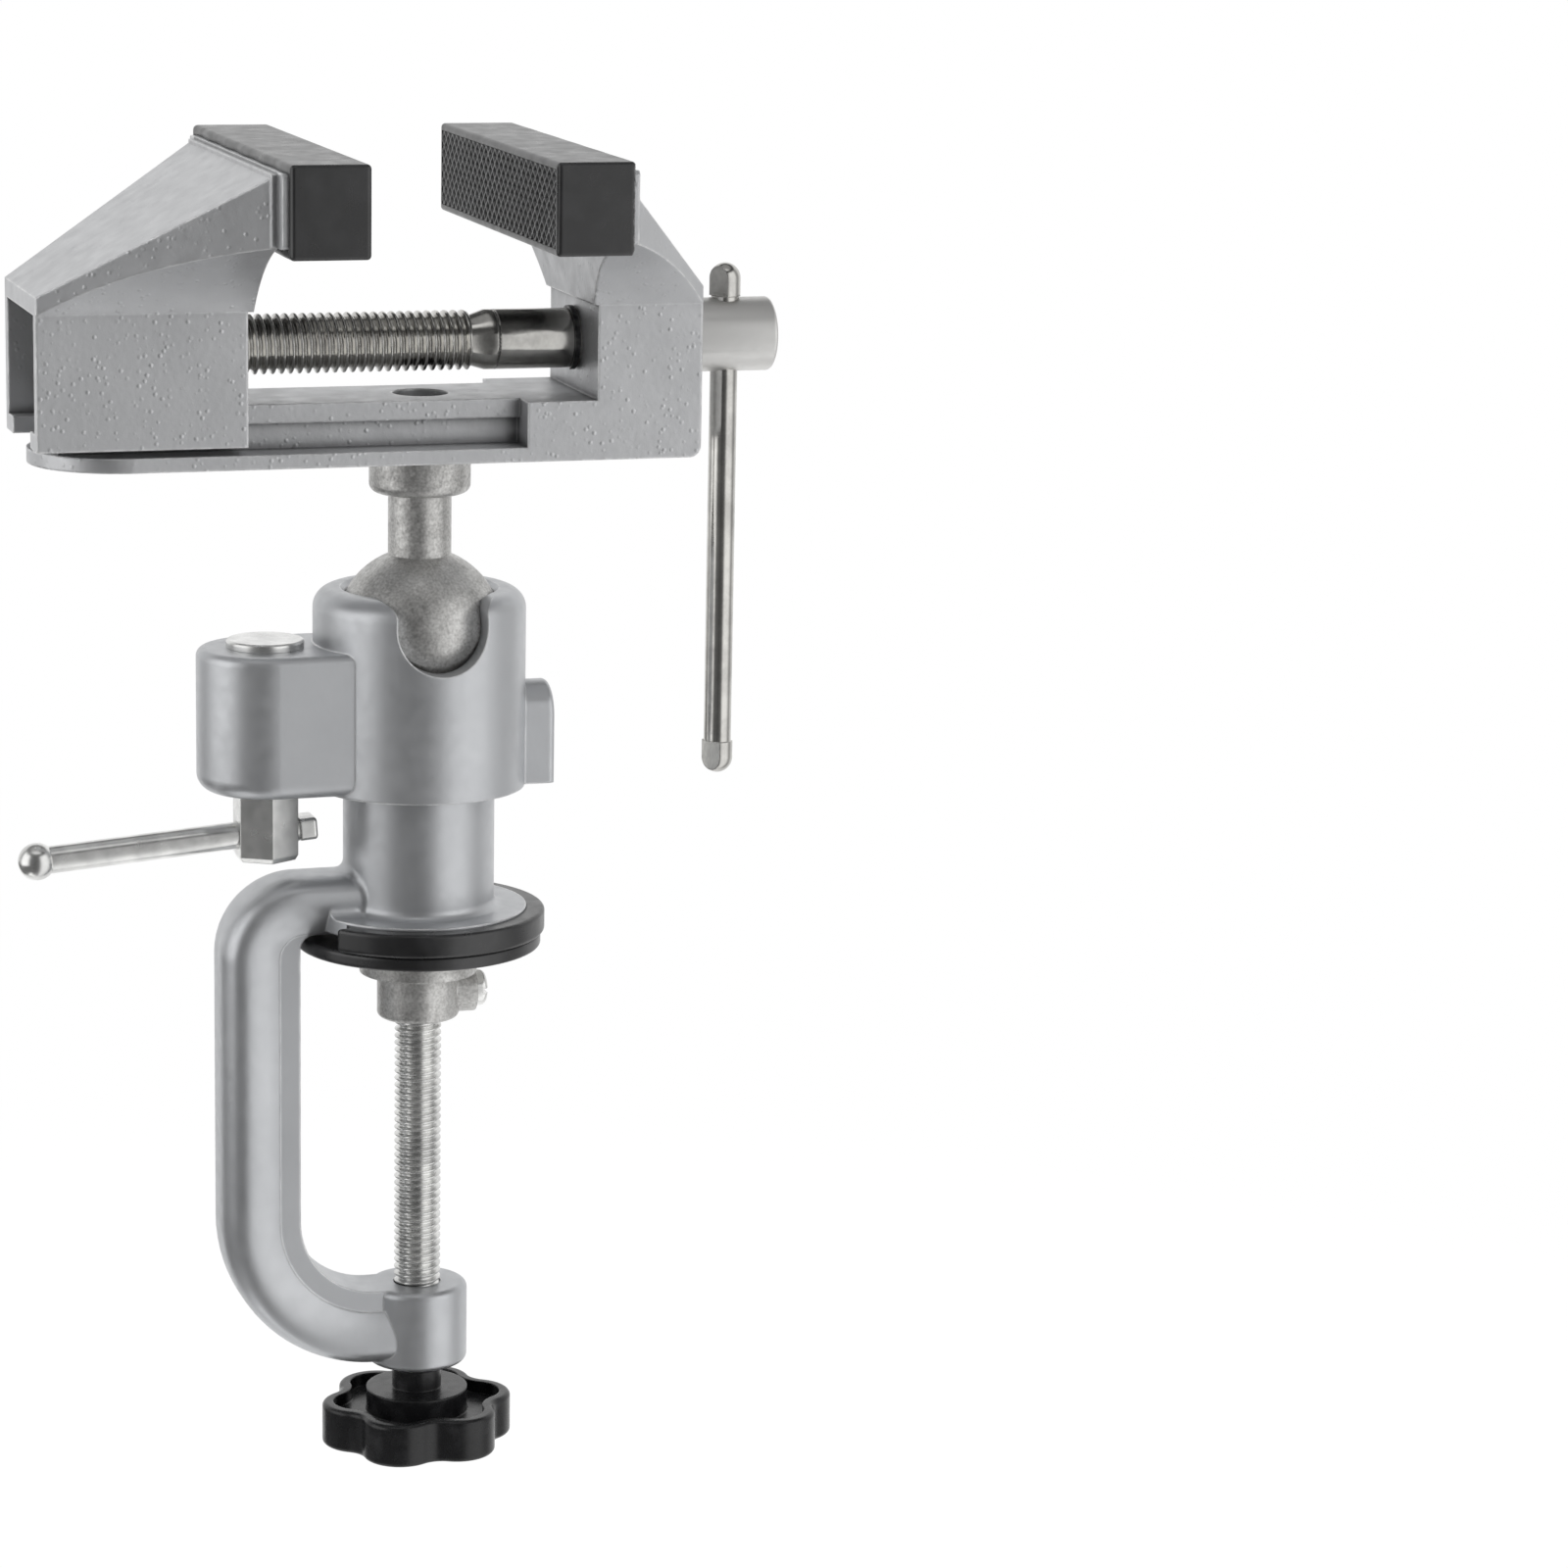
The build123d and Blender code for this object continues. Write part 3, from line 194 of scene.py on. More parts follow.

# ------------------------------------------------------------------ rubber pads
# Moulded black rubber: a cup under the flange and a disc on the clamp screw. Dusty in patches
# and a little shiny in others, where it has been handled.
RUBBER = (0.006, 0.006, 0.0065, 1)
RUBBER_DUST = (0.014, 0.014, 0.015, 1)
black_rubber = new_finish("black_rubber", RUBBER, 0.0, 0.3, Specular_IOR_Level=0.8)[0]
bloom = spread(black_rubber, speckle(black_rubber, 5, 5), 0.45, 0.75)
feed(black_rubber, blended(black_rubber, bloom, RUBBER, RUBBER_DUST), "Base Color")
patchy(black_rubber, 3, 4, 0.26, 0.36)
embossed(black_rubber, 0.5, 0.01, speckle(black_rubber, 0.5, 2), soft_edges(black_rubber, 0.5))
for node in ("table_pad", "pressure_pad", "fixed_jaw_pad", "moving_jaw_pad"):
    wears(node, black_rubber)

# ------------------------------------------------------------------ ball stud and swivel socket
# The stud with its ball, the seat under the ball and the socket on the clamp screw are raw die
# castings, left unpainted: dull grey metal with a fine dark speckle and a cloudy surface.
CAST_DARK = (0.33, 0.325, 0.315, 1)
CAST_LIGHT = (0.66, 0.655, 0.64, 1)
raw_casting = new_finish("raw_casting", CAST_LIGHT, 0.85, 0.4)[0]
mottle = reckoned(raw_casting, "ADD", speckle(raw_casting, 7, 4, 0.6), speckle(raw_casting, 0.45, 3))
mottle = spread(raw_casting, mottle, 0.68, 1.22)
feed(raw_casting, blended(raw_casting, mottle, CAST_DARK, CAST_LIGHT), "Base Color")
patchy(raw_casting, 1.1, 3, 0.30, 0.52)
embossed(raw_casting, 0.7, 0.03, speckle(raw_casting, 0.45, 3), soft_edges(raw_casting, 0.5))
for node in ("ball_stud", "swivel_socket", "ball_seat"):
    wears(node, raw_casting)

# ------------------------------------------------------------------ lock and clamp screw
# The camshaft, its bar, the push pin and the clamp screw are turned steel with a thin zinc
# plating: pale grey and bright, with soft dull patches.
ZINC_DARK = (0.66, 0.66, 0.65, 1)
ZINC_LIGHT = (0.84, 0.84, 0.825, 1)
zinc_steel = new_finish("zinc_steel", ZINC_LIGHT, 0.95, 0.24)[0]
dulled = spread(zinc_steel, speckle(zinc_steel, 4, 2), 0.35, 0.65)
feed(zinc_steel, blended(zinc_steel, dulled, ZINC_DARK, ZINC_LIGHT), "Base Color")
patchy(zinc_steel, 3, 2, 0.20, 0.28)
embossed(zinc_steel, 0.3, 0.005, speckle(zinc_steel, 1.5, 2), soft_edges(zinc_steel, 0.3))
for node in ("lock_camshaft", "lock_bar", "push_pin", "clamp_screw", "socket_retaining_screw"):
    wears(node, zinc_steel)

# ------------------------------------------------------------------ vise castings
# Bed and moving jaw are castings with a silver-grey paint over a pimpled skin. The pimples are
# about half a millimetre across, the paint is thin along every outer edge, where a painted
# highlight brightens it, and painted shade darkens the seams.
SKIN_DARK = (0.52, 0.525, 0.535, 1)
SKIN_LIGHT = (0.56, 0.565, 0.575, 1)
# Near-black painted shade for the seams and creases.
SEAM_SHADE = (0.16, 0.16, 0.165, 1)
PIMPLE_SPACING, RIPPLE_SHARE = 1.3, 0.55
hammered_paint = new_finish("hammered_paint", SKIN_LIGHT, 0.85, 0.38)[0]
place = put(hammered_paint, "ShaderNodeTexCoord").outputs["Object"]
cells = put(
    hammered_paint, "ShaderNodeTexVoronoi", {"Vector": place, "Scale": 1 / (PIMPLE_SPACING * MM)}, feature="F1"
).outputs["Distance"]
here = spread(hammered_paint, speckle(hammered_paint, 5, 4, 0.6), 0.38, 0.58)
pimple = reckoned(hammered_paint, "MULTIPLY", spread(hammered_paint, cells, 0.32, 0.08), here)
ripple = reckoned(hammered_paint, "MULTIPLY", speckle(hammered_paint, 1.1, 3), RIPPLE_SHARE)
skin = reckoned(hammered_paint, "ADD", pimple, ripple)
# Painted highlight: outer edges are lightened towards near white, along with the bare metal of worn paint; seams are
# not.
rubbed_and_highlit, rounded = worn_and_highlit_edges(hammered_paint, 0.6, speckle(hammered_paint, 2.2, 3), 0.0)
cloud = spread(hammered_paint, speckle(hammered_paint, 9, 4), 0.3, 0.7)
painted = blended(hammered_paint, cloud, SKIN_DARK, SKIN_LIGHT)
# Painted shade: seams and creases darken where the piece itself stands close by.
unshaded = spread(hammered_paint, openness(hammered_paint, 2.2), 0.5, 0.88)
painted = blended(hammered_paint, unshaded, SEAM_SHADE, painted)
feed(hammered_paint, blended(hammered_paint, rubbed_and_highlit, painted, BARE_METAL_AND_HIGHLIGHT), "Base Color")
patchy(hammered_paint, 3, 3, 0.36, 0.48)
embossed(hammered_paint, 0.85, 0.07, skin, rounded)
for node in ("vise_bed", "moving_jaw"):
    wears(node, hammered_paint)

# ------------------------------------------------------------------ jaw caps
# Moulded rubber caps pushed over the jaw flanges. The gripping face is a field of small diamond
# pockets inside a plain rounded border, and the open rear lip is slightly wavy.
CAP_W, CAP_H, CAP_DEPTH, CAP_WALL = 75.0, 15.0, 13.3, 1.5
CAP_EDGE, CAP_LIP, LEAST_CORNER = 0.7, 0.9, 0.25
BORDER, HOLLOW_FROM = 1.2, 2.0
WAVE, TORN_FROM_Y = 0.15, 36.5
FIXED_FACE_X, MOVING_FACE_X = 12.9, -17.25
CAP_MIDDLE_Z = BALL_Z + 74.0
POCKET_DEEP, POCKET_FLOOR = 0.5, 0.3
POCKET_WIDE, POCKET_HIGH = 2.8, 2.5
RIDGE_HALF_W, POCKET_SLOPE = 0.13, 0.6
SHARP_ABOVE = math.radians(32)


def closed_skin(rings):
    """Points and faces of a closed skin: rings[i, j] runs round each ring, the first and last ring
    are each closed by a fan of triangles to their own middle."""
    rows, around = rings.shape[:2]
    index = np.arange(rows * around).reshape(rows, around)
    ahead = np.roll(index, -1, axis=1)
    quads = np.stack([index[:-1], index[1:], ahead[1:], ahead[:-1]], axis=-1).reshape(-1, 4)
    first, last = rows * around, rows * around + 1
    start = np.stack([index[0], ahead[0], np.full(around, first)], axis=-1)
    end = np.stack([ahead[-1], index[-1], np.full(around, last)], axis=-1)
    points = np.concatenate([rings.reshape(-1, 3), rings[:1].mean(axis=1), rings[-1:].mean(axis=1)])
    return points, quads.tolist() + start.tolist() + end.tolist()


def piece_from(name, skins, finish, body, joined=None):
    """One mesh object, in metres, from skins given in millimetres, that rides on a body. A copy of
    a carried-over piece, in metres, can be joined to it."""
    points, faces, base = [], [], 0
    for skin_points, skin_faces in skins:
        points.append(skin_points)
        faces += [[corner + base for corner in face] for face in skin_faces]
        base += len(skin_points)
    mesh = bpy.data.meshes.new(name)
    mesh.from_pydata((np.concatenate(points) * MM).tolist(), [], faces)
    if joined:
        joined.from_mesh(mesh)
        joined.to_mesh(mesh)
        joined.free()
    mesh.polygons.foreach_set("use_smooth", [True] * len(mesh.polygons))
    mesh.materials.append(finish)
    thing = bpy.data.objects.new(name, mesh)
    bpy.context.scene.collection.objects.link(thing)
    mesh.set_sharp_from_angle(angle=SHARP_ABOVE)
    even = thing.modifiers.new("even_normals", "WEIGHTED_NORMAL")
    even.keep_sharp = True
    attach(thing, body)
    return thing


def rounded_outline(half_w, half_h, radius, per_corner=8, per_side=24):
    """Points round a rectangle whose corners are quarter circles and whose sides are divided evenly,
    counter-clockwise from the right."""
    turn = np.linspace(0, np.pi / 2, per_corner)
    along = np.linspace(0, 1, per_side + 2)[1:-1]
    w, h, points = half_w - radius, half_h - radius, []
    for corner, (x, y), (x_next, y_next) in zip(
        range(4), ((w, h), (-w, h), (-w, -h), (w, -h)), ((-w, h), (-w, -h), (w, -h), (w, h))
    ):
        angle = turn + corner * np.pi / 2
        points.append([x + radius * np.cos(angle), y + radius * np.sin(angle)])
        out_x, out_y = radius * np.cos(angle[-1]), radius * np.sin(angle[-1])
        points.append([x + out_x + (x_next - x) * along, y + out_y + (y_next - y) * along])
    return np.concatenate(points, axis=1)


def cap_shell(face_x, inward):
    """The cap as rings of a rounded rectangle, each ring set in from the outline and back from the
    face: the pocket field's floor, the border, the rounded edge, the side, the rounded lip, the
    inner wall. The lip waves by a sine along the cap, and the fixed cap's is torn at its near end."""
    turn = np.linspace(0, np.pi / 2, 6)
    edge, lip = CAP_EDGE * (1 - np.sin(turn)), CAP_LIP * (1 - np.cos(turn))
    inset = np.concatenate([[BORDER + 0.05, BORDER - 0.05], edge, lip, [CAP_WALL, CAP_WALL]])
    edge, lip = CAP_EDGE * (1 - np.cos(turn)), CAP_DEPTH - CAP_LIP * (1 - np.sin(turn))
    depth = np.concatenate([[POCKET_DEEP + 0.06, 0.0], edge, lip, [CAP_DEPTH - 0.1, HOLLOW_FROM]])
    rings = []
    for set_in, back in zip(inset, depth):
        y, z = rounded_outline(CAP_W / 2 - set_in, CAP_H / 2 - set_in, max(CAP_EDGE - set_in, LEAST_CORNER))
        near_lip = np.clip((back - CAP_DEPTH + CAP_LIP) / CAP_LIP, 0, 1)
        torn = np.clip(-y - TORN_FROM_Y, 0, 1) * (2 + np.sin(2.3 * z) + np.sin(5.1 * z)) * (inward > 0)
        wave = WAVE * (1 + np.sin(0.45 * y) + torn)
        rings.append(np.stack([face_x + inward * (back - wave * near_lip), y, z + CAP_MIDDLE_Z], axis=-1))
    rings = np.array(rings)
    return closed_skin(rings if inward > 0 else rings[:, ::-1])


def pocket_field(face_x, inward):
    """A slab whose face is z = depth times how far a point lies inside its diamond: the diamonds come
    from two families of slanting lines, and their ridges are rounded and level with the face."""
    half_w, half_h = CAP_W / 2 - BORDER, CAP_H / 2 - BORDER
    y, z = np.linspace(-half_w, half_w, 381), np.linspace(-half_h, half_h, 73)
    across, up = np.meshgrid(y, z, indexing="ij")
    one, two = across / POCKET_WIDE + up / POCKET_HIGH, across / POCKET_WIDE - up / POCKET_HIGH
    to_line = np.minimum(np.abs(one - np.round(one)), np.abs(two - np.round(two))) * 2
    sunk = np.clip((to_line - RIDGE_HALF_W) / POCKET_SLOPE, 0, 1)
    sunk = POCKET_DEEP * sunk * sunk * (3 - 2 * sunk)
    edge = np.minimum(half_w - np.abs(across), half_h - np.abs(up))
    sunk = sunk * np.clip(edge / 0.3, 0, 1)
    front = np.stack([face_x + inward * (sunk + 0.01), across, up + CAP_MIDDLE_Z], axis=-1)
    rear = front.copy()
    rear[..., 0] = face_x + inward * (POCKET_DEEP + POCKET_FLOOR)
    rows, columns = front.shape[:2]
    index = np.arange(rows * columns).reshape(rows, columns)
    quads = np.stack([index[:-1, :-1], index[:-1, 1:], index[1:, 1:], index[1:, :-1]], axis=-1).reshape(-1, 4)
    rim = np.concatenate([index[0, :-1], index[:-1, -1], index[-1, :0:-1], index[:0:-1, 0]])
    far = rim + rows * columns
    walls = np.stack([rim, np.roll(rim, -1), np.roll(far, -1), far], axis=-1)
    back = rows * columns
    corners = np.array([[index[0, 0], index[-1, 0], index[-1, -1], index[0, -1]]]) + back
    faces = quads.tolist() + walls[:, ::-1].tolist() + [far.tolist()]
    if inward < 0:
        faces = [face[::-1] for face in faces]
    return np.concatenate([front.reshape(-1, 3), rear.reshape(-1, 3)]), faces


for node, body, face_x, inward in (
    ("fixed_jaw_pad", "head", FIXED_FACE_X, 1),
    ("moving_jaw_pad", "slide_jaw", MOVING_FACE_X, -1),
):
    skins = [cap_shell(face_x, inward), pocket_field(face_x, inward)]
    cap = piece_from(node + "_cap", skins, black_rubber, body)
    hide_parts(node)

# ------------------------------------------------------------------ lead screw and cross bar
# Bright nickel-plated steel, polished, with faint cloudy patches and a warmer tone than zinc. The
# screw's hub is a satin grey.
NICKEL_DARK = (0.50, 0.49, 0.47, 1)
NICKEL_LIGHT = (0.66, 0.65, 0.62, 1)
HUB_SATIN = (0.74, 0.735, 0.72, 1)
HUB_FROM_X, BAR_END_X = 44.0, 100.0
SATIN_MORE = 0.28


def nickel_plated(name, satin_from_x):
    """Polished nickel plating that is satin past a place along x, in millimetres."""
    finish = new_finish(name, NICKEL_LIGHT, 1.0, 0.16)[0]
    place = put(finish, "ShaderNodeTexCoord").outputs["Object"]
    x = put(finish, "ShaderNodeSeparateXYZ", {0: place}).outputs["X"]
    satin = reckoned(finish, "GREATER_THAN", x, satin_from_x * MM)
    clouds = spread(finish, speckle(finish, 5, 5, 0.6), 0.35, 0.6)
    polished = blended(finish, clouds, NICKEL_DARK, NICKEL_LIGHT)
    feed(finish, blended(finish, satin, polished, HUB_SATIN), "Base Color")
    smooth = spread(finish, speckle(finish, 1.5, 4), 0.3, 0.7, 0.11, 0.2)
    dull = reckoned(finish, "MULTIPLY", satin, SATIN_MORE)
    feed(finish, reckoned(finish, "ADD", smooth, dull), "Roughness")
    embossed(finish, 0.5, 0.01, speckle(finish, 0.6, 3), soft_edges(finish, 0.3))
    return finish


wears("tommy_bar", nickel_plated("nickel_bar", BAR_END_X))
nickel_steel = nickel_plated("nickel_steel", HUB_FROM_X)

# The lead screw's thread is cut to the rod's full size, so its crests are flat and its ends taper.
LEAD_R, LEAD_PITCH, LEAD_DEEP = 5.0, 1.5, 0.85
LEAD_FROM, LEAD_TO, LEAD_TAPER = -56.0, 7.8, 2.9
LEAD_Z, LEAD_NECK = BALL_Z + 48.8, 0.8
LEAD_CHAMFER = 1.0
HUB_SIDE_X = 12.5
STEPS_A_TURN = 10


def threaded_rod(along, plain_r, shares, pitch, deep, around=56):
    """Rings of a rod whose radius is plain_r less deep times a groove. The groove is 0 on the crest
    and 1 at the root of along / pitch - turn, so one ridge winds round as a right-hand helix, and
    shares fades it in and out along the rod."""
    turn = np.linspace(0, 2 * np.pi, around, endpoint=False)
    phase = along[:, None] / pitch - turn[None, :] / (2 * np.pi)
    groove = np.clip((np.abs(phase - np.floor(phase) - 0.5) - 0.05) / 0.4, 0, 1)
    groove = groove * groove * (3 - 2 * groove)
    radius = plain_r[:, None] - deep * groove * shares[:, None]
    return radius * np.cos(turn), radius * np.sin(turn)


along = np.arange(LEAD_FROM, LEAD_TO, LEAD_PITCH / STEPS_A_TURN)
along = np.concatenate([along, [LEAD_TO, LEAD_TO + LEAD_TAPER, HUB_SIDE_X]])
chamfered = LEAD_R - np.clip(LEAD_CHAMFER - (along - LEAD_FROM), 0, 1) * LEAD_NECK
shares = np.clip((LEAD_TO + 0.4 - along) / LEAD_PITCH, 0, 1)
runout = np.clip((LEAD_TO + LEAD_TAPER - along) / LEAD_TAPER, 0, 1) * (along > LEAD_TO - 0.01)
necked = chamfered - LEAD_NECK * runout
y, z = threaded_rod(along, necked, shares, LEAD_PITCH, LEAD_DEEP)
rod = np.stack([np.broadcast_to(along[:, None], y.shape), y, z + LEAD_Z], axis=-1)

hub = bmesh.new()
hub.from_mesh(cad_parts["lead_screw"].data)
bmesh.ops.remove_doubles(hub, verts=hub.verts, dist=1e-6)
bmesh.ops.bisect_plane(
    hub,
    geom=hub.verts[:] + hub.edges[:] + hub.faces[:],
    plane_co=((HUB_SIDE_X - 0.3) * MM, 0, 0),
    plane_no=(1, 0, 0),
    clear_inner=True,
)
bmesh.ops.holes_fill(hub, edges=[edge for edge in hub.edges if edge.is_boundary])
screw = piece_from("lead_screw_cut", [closed_skin(rod)], nickel_steel, "screw", joined=hub)
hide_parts("lead_screw")

# ------------------------------------------------------------------ clamp screw
# Zinc-plated threaded rod: a plain grooved end turns in the swivel socket, the other end is
# moulded into the knob.
CLAMP_R, CLAMP_PITCH, CLAMP_DEEP = 4.0, 1.25, 0.7
CLAMP_FROM, CLAMP_TO, CLAMP_AROUND = -89.8, -15.5, 48
END_R, END_TOP, END_GROOVE_Z, END_GROOVE_R, END_GROOVE_H = 3.2, -4.3, -11.0, 2.3, 2.2
along = np.arange(CLAMP_FROM, CLAMP_TO, CLAMP_PITCH / STEPS_A_TURN)
shares = np.clip((CLAMP_TO - along) / CLAMP_PITCH, 0, 1)
plain = np.full(len(along), CLAMP_R)
x, y = threaded_rod(along, plain, shares, CLAMP_PITCH, CLAMP_DEEP, around=CLAMP_AROUND)
turn = np.linspace(0, 2 * np.pi, CLAMP_AROUND, endpoint=False)
groove_low, groove_top = END_GROOVE_Z - END_GROOVE_H / 2, END_GROOVE_Z + END_GROOVE_H / 2
end_z = np.array([CLAMP_TO, CLAMP_TO + 0.05, groove_low, groove_low, groove_top, groove_top, END_TOP - 0.3, END_TOP])
end_r = np.array([CLAMP_R, END_R, END_R, END_GROOVE_R, END_GROOVE_R, END_R, END_R, END_R - 0.3])
along = np.concatenate([along, end_z])
x = np.concatenate([x, end_r[:, None] * np.cos(turn)])
y = np.concatenate([y, end_r[:, None] * np.sin(turn)])
rod = np.stack([x, y, np.broadcast_to(along[:, None], x.shape)], axis=-1)
screw = piece_from("clamp_screw_cut", [closed_skin(rod)], zinc_steel, "clamp_spindle")
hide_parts("clamp_screw")

# ------------------------------------------------------------------ small dark fasteners
# Bought parts of oiled dark steel: the grub screw in the housing, the cap screw and split washer
# that hold the stud, the nut in the moving jaw and the open ring on the lead screw.
OIL_DARK = (0.05, 0.05, 0.052, 1)
OIL_LIGHT = (0.15, 0.15, 0.15, 1)
dark_steel = new_finish("dark_steel", OIL_LIGHT, 0.9, 0.35)[0]
oily = spread(dark_steel, speckle(dark_steel, 1.5, 4), 0.35, 0.65)
feed(dark_steel, blended(dark_steel, oily, OIL_DARK, OIL_LIGHT), "Base Color")
patchy(dark_steel, 1.0, 3, 0.28, 0.5)
feed(dark_steel, soft_edges(dark_steel, 0.25), "Normal")
for node in (
    "housing_retaining_screw", "stud_fixing_screw", "stud_lock_washer", "jaw_nut", "screw_retaining_ring"
):
    wears(node, dark_steel)

# ------------------------------------------------------------------ star knob
# A star knob of black plastic, moulded on to the clamp screw's lower end. Its skin is satin with
# a very faint texture from the mould.
PLASTIC = (0.006, 0.006, 0.0065, 1)
PLASTIC_WORN = (0.014, 0.014, 0.015, 1)
black_plastic = new_finish("black_plastic", PLASTIC, 0.0, 0.26, Specular_IOR_Level=0.45)[0]
handled = spread(black_plastic, speckle(black_plastic, 4, 5), 0.5, 0.75)
feed(black_plastic, blended(black_plastic, handled, PLASTIC, PLASTIC_WORN), "Base Color")
patchy(black_plastic, 2, 4, 0.20, 0.32)
embossed(black_plastic, 0.5, 0.01, speckle(black_plastic, 0.6, 2), soft_edges(black_plastic, 0.5))
wears("star_knob", black_plastic)

# ------------------------------------------------------------------ room
# A pale floor that runs out into a white surround, low enough for the knob to come down to it
# when the clamp opens. Two tall soft sheets of light stand left and right of the camera, one more
# hangs overhead, and it is dark behind the camera.
KNOB_DROP = 45.5
FLOOR_Z = cad_box[0][2] - KNOB_DROP * MM
FLOOR_REACH, FLOOR_FADE_FROM, GLOSS_FADE_FROM = 0.9, 0.45, 0.05


def flat_sheet(name, corners):
    """A flat sheet with four corners, in metres."""
    mesh = bpy.data.meshes.new(name)
    mesh.from_pydata(corners, [], [(0, 1, 2, 3)])
    sheet = bpy.data.objects.new(name, mesh)
    bpy.context.scene.collection.objects.link(sheet)
    return sheet


square = ((-1, -1), (1, -1), (1, 1), (-1, 1))
floor = flat_sheet("floor", [(x * FLOOR_REACH, y * FLOOR_REACH, FLOOR_Z) for x, y in square])
floor_finish, shader = new_finish("floor_white", (0.9, 0.9, 0.9, 1), 0.0, 0.6)
glow = put(floor_finish, "ShaderNodeEmission", {"Color": (1, 1, 1, 1), "Strength": 1.0})
ray = put(floor_finish, "ShaderNodeLightPath").outputs
place = put(floor_finish, "ShaderNodeTexCoord").outputs["Object"]
away = put(floor_finish, "ShaderNodeVectorMath", {0: place}, operation="LENGTH").outputs["Value"]
seen = reckoned(floor_finish, "MAXIMUM", ray["Is Camera Ray"], ray["Is Glossy Ray"])
share = reckoned(floor_finish, "MULTIPLY", seen, spread(floor_finish, away, 0.12, 0.4, 0.75, 1.0))
both = put(floor_finish, "ShaderNodeMixShader", {0: share, 1: shader.outputs[0], 2: glow.outputs[0]}).outputs[0]
far = spread(floor_finish, away, FLOOR_FADE_FROM, FLOOR_REACH)
mirror_far = spread(floor_finish, away, GLOSS_FADE_FROM, 4 * GLOSS_FADE_FROM)
mirror_far = reckoned(floor_finish, "MULTIPLY", ray["Is Glossy Ray"], mirror_far)
gone = reckoned(floor_finish, "MAXIMUM", far, mirror_far)
clear = put(floor_finish, "ShaderNodeBsdfTransparent").outputs[0]
fading = put(floor_finish, "ShaderNodeMixShader", {0: gone, 1: both, 2: clear}).outputs[0]
floor_finish.node_tree.links.new(fading, floor_finish.node_tree.nodes["Material Output"].inputs["Surface"])
floor.data.materials.append(floor_finish)

# The surround is plain white where it is seen. Metal mirrors it by the way it looks round the
# room: dark, then a sheet of light, then grey, then the white wall behind the vise.
SKY_LIGHT, CEILING, OVERHEAD, BELOW_CEILING = 0.45, 0.35, 0.9, 0.06
ROOM_GAIN = 1.35
CAMERA_TURN = -18.58
FRONT_WAY = math.radians(CAMERA_TURN - 90)
ROOM_LEVELS = (
    (-180, 0.74), (-130, 0.64), (-108, 0.3), (-85, 0.98), (-55, 1.0), (-28, 0.13), (0, 0.07),
    (20, 0.1), (44, 0.84), (74, 0.84), (105, 0.31), (135, 0.64), (180, 0.74),
)
world = bpy.data.worlds.new("surround")
bpy.context.scene.world = world
world.use_nodes = True
background = world.node_tree.nodes["Background"]
background.inputs["Color"].default_value = (1, 1, 1, 1)
ray = put(world, "ShaderNodeLightPath").outputs
way = put(world, "ShaderNodeTexCoord").outputs["Generated"]
axes = ((math.cos(FRONT_WAY), math.sin(FRONT_WAY), 0), (-math.sin(FRONT_WAY), math.cos(FRONT_WAY), 0), (0, 0, 1))
ahead, across, height = (
    put(world, "ShaderNodeVectorMath", {0: way, 1: axis}, operation="DOT_PRODUCT").outputs["Value"]
    for axis in axes
)
round_turn = reckoned(world, "ARCTAN2", across, ahead)
levels = put(world, "ShaderNodeValToRGB", {0: spread(world, round_turn, -math.pi, math.pi)})
levels.color_ramp.interpolation = "EASE"
while len(levels.color_ramp.elements) < len(ROOM_LEVELS):
    levels.color_ramp.elements.new(0.5)
for stop, (degrees, level) in zip(levels.color_ramp.elements, ROOM_LEVELS):
    stop.position = degrees / 360 + 0.5
    stop.color = (level, level, level, 1)
walls = reckoned(world, "MULTIPLY", levels.outputs[0], ROOM_GAIN)
ceiling = reckoned(world, "MULTIPLY", spread(world, ahead, 0.1, 0.3), OVERHEAD)
ceiling = reckoned(world, "MAXIMUM", ceiling, CEILING)
ceiling = put(world, "ShaderNodeMix", {0: spread(world, height, 0.8, 0.9), 2: BELOW_CEILING, 3: ceiling}).outputs[0]
room = put(world, "ShaderNodeMix", {0: spread(world, height, 0.6, 0.75), 2: walls, 3: ceiling}).outputs[0]
mirrored = reckoned(world, "MAXIMUM", ray["Is Glossy Ray"], ray["Is Transmission Ray"])
level = put(world, "ShaderNodeMix", {0: mirrored, 2: SKY_LIGHT, 3: room}).outputs[0]
level = put(world, "ShaderNodeMix", {0: ray["Is Camera Ray"], 2: level, 3: 1.0}).outputs[0]
world.node_tree.links.new(level, background.inputs["Strength"])


def lamp(name, place, target, size, watts):
    """A soft rectangular lamp at place that looks at target. Mirrors show the room's own sheets of
    light in its stead."""
    light = bpy.data.lights.new(name, "AREA")
    light.shape = "RECTANGLE"
    light.size, light.size_y = size
    light.energy = watts
    thing = bpy.data.objects.new(name, light)
    thing.location = place
    thing.rotation_euler = (Vector(target) - Vector(place)).to_track_quat("-Z", "Y").to_euler()
    thing.visible_glossy = False
    bpy.context.scene.collection.objects.link(thing)


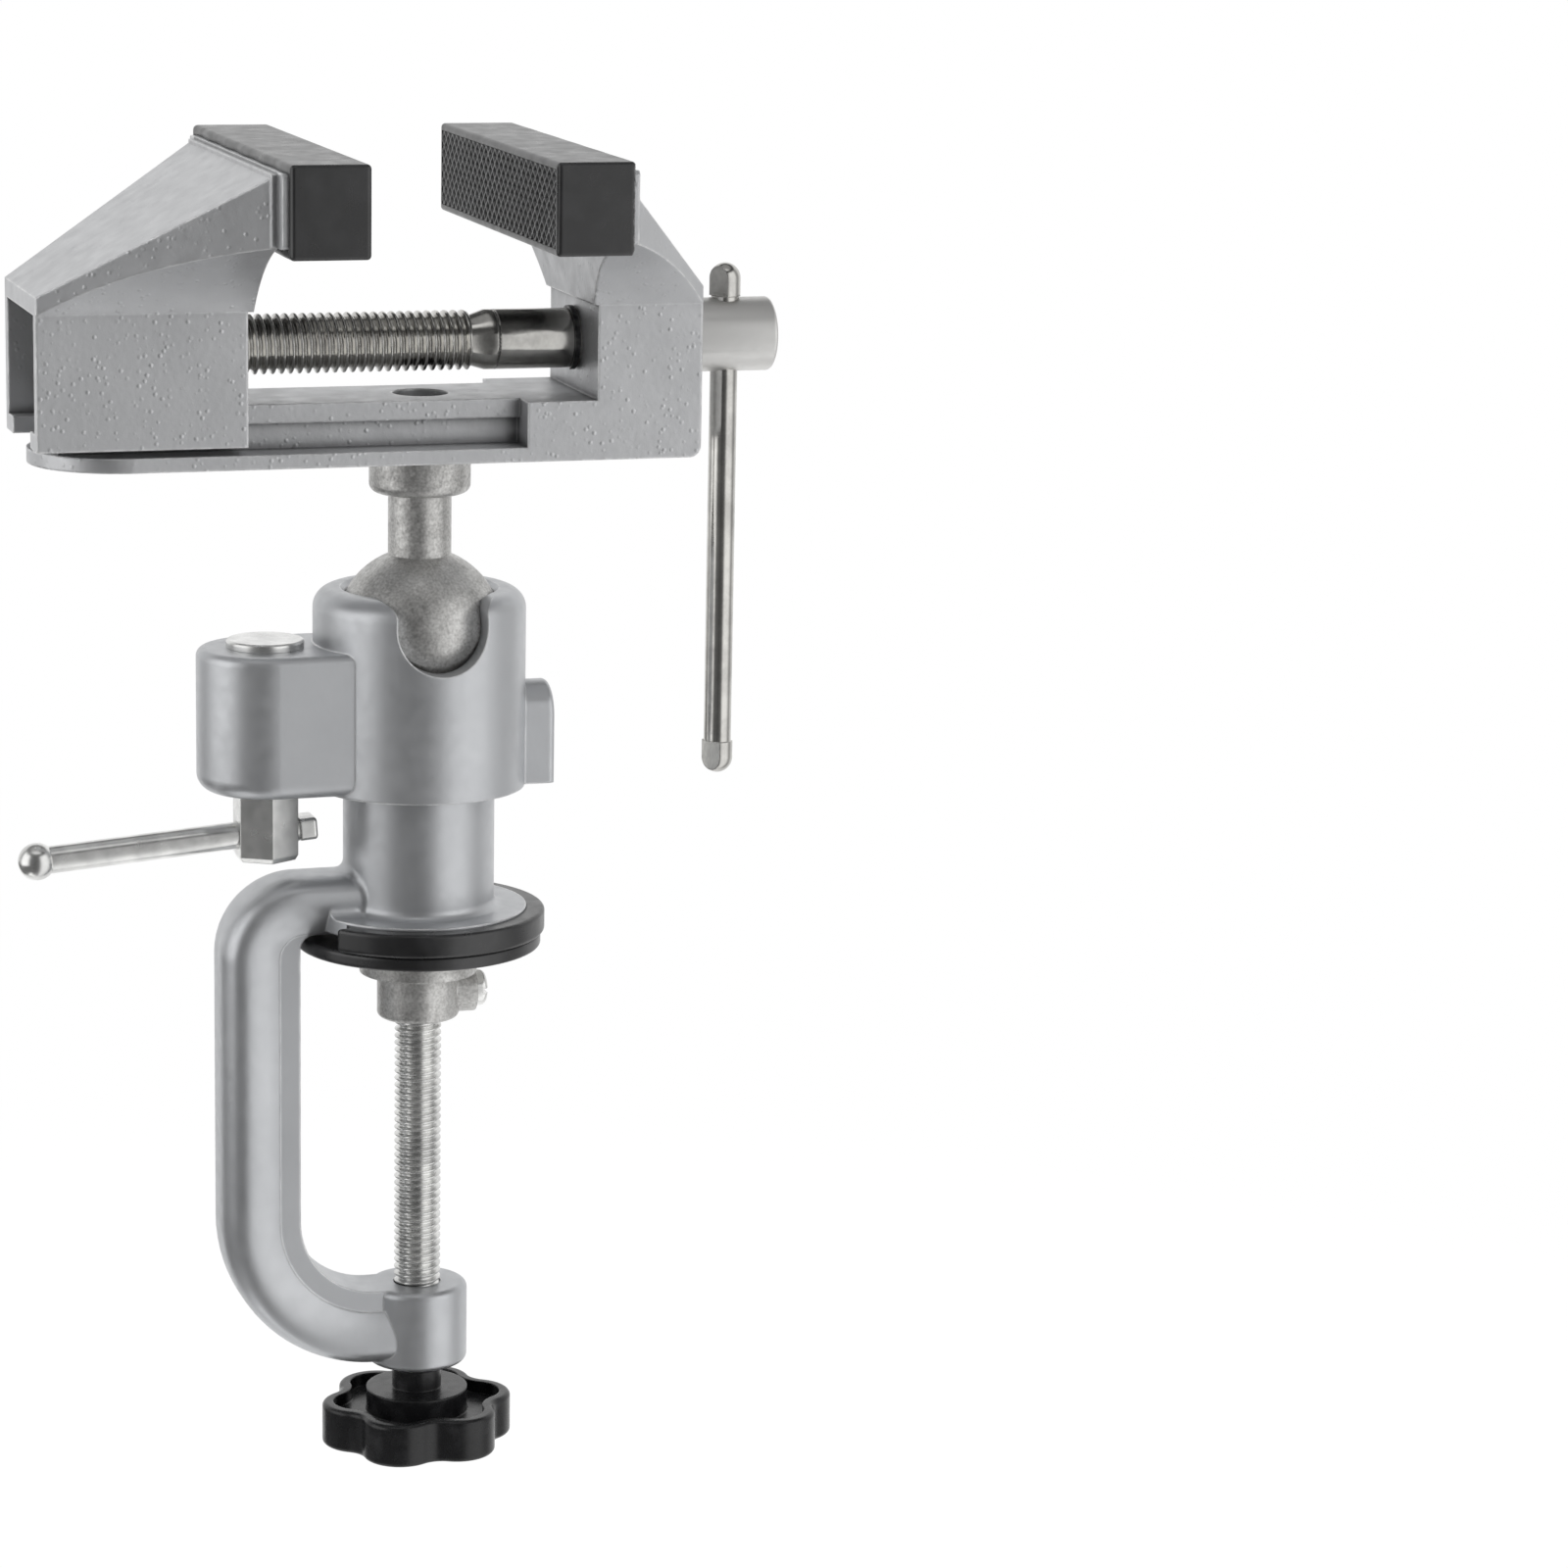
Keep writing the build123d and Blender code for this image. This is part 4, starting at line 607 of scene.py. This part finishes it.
# Low on the left the room is dark, so the arm shows no light on that side.
CARD_X, CARD_TOP_Z, CARD_FOOT_Z, CARD_HALF_W, CARD_LEVEL = -0.45, -0.1, -0.6, 0.7, 0.1
card_corners = (
    (-CARD_HALF_W, CARD_FOOT_Z), (CARD_HALF_W, CARD_FOOT_Z), (CARD_HALF_W, CARD_TOP_Z), (-CARD_HALF_W, CARD_TOP_Z)
)
card = flat_sheet("left_card", [(CARD_X, y, z) for y, z in card_corners])
card_finish, shader = new_finish("card_grey", (0, 0, 0, 1), 0.0, 1.0, Emission_Strength=CARD_LEVEL)
shader.inputs["Emission Color"].default_value = (1, 1, 1, 1)
card.data.materials.append(card_finish)
card.visible_camera = card.visible_diffuse = card.visible_shadow = False

lamp("left_sheet", (-1.0, -0.05, 0.35), (0, 0, 0.03), (0.5, 0.9), 9)
lamp("right_sheet", (0.75, -0.7, 0.35), (0, 0, 0.03), (0.5, 0.9), 9)
lamp("top", (0.0, 0.2, 0.9), (0, 0, 0.05), (0.5, 0.3), 5)

# ------------------------------------------------------------------ camera
# The photograph is taken from the front left of the vise and a little above it. The camera
# stands well back, turned a little in its own plane, with the vise left of its middle.
SIDE, TILT, ROLL = math.radians(CAMERA_TURN), math.radians(12.442), math.radians(-1.159)
FOCAL_PX, FRAME_PX, SENSOR_MM = 4941.8, 1600, 36
CAMERA_RIGHT, CAMERA_DOWN, CAMERA_AWAY = 61.31, 25.95, 814.2
right = Vector((math.cos(SIDE), math.sin(SIDE), 0))
back = Vector((math.sin(SIDE) * math.cos(TILT), -math.cos(SIDE) * math.cos(TILT), math.sin(TILT)))
up = back.cross(right)
side = math.cos(ROLL) * right - math.sin(ROLL) * up
top = math.sin(ROLL) * right + math.cos(ROLL) * up
camera = bpy.data.objects.new("camera", bpy.data.cameras.new("camera"))
camera.data.sensor_width = SENSOR_MM
camera.data.lens = FOCAL_PX / FRAME_PX * SENSOR_MM
camera.matrix_world = Matrix.Translation(
    Vector((0, 0, BALL_Z * MM)) + (side * CAMERA_RIGHT - top * CAMERA_DOWN + back * CAMERA_AWAY) * MM
) @ Matrix((side, top, back)).transposed().to_4x4()
bpy.context.scene.collection.objects.link(camera)
bpy.context.scene.camera = camera
bpy.context.scene.view_settings.view_transform = "Standard"
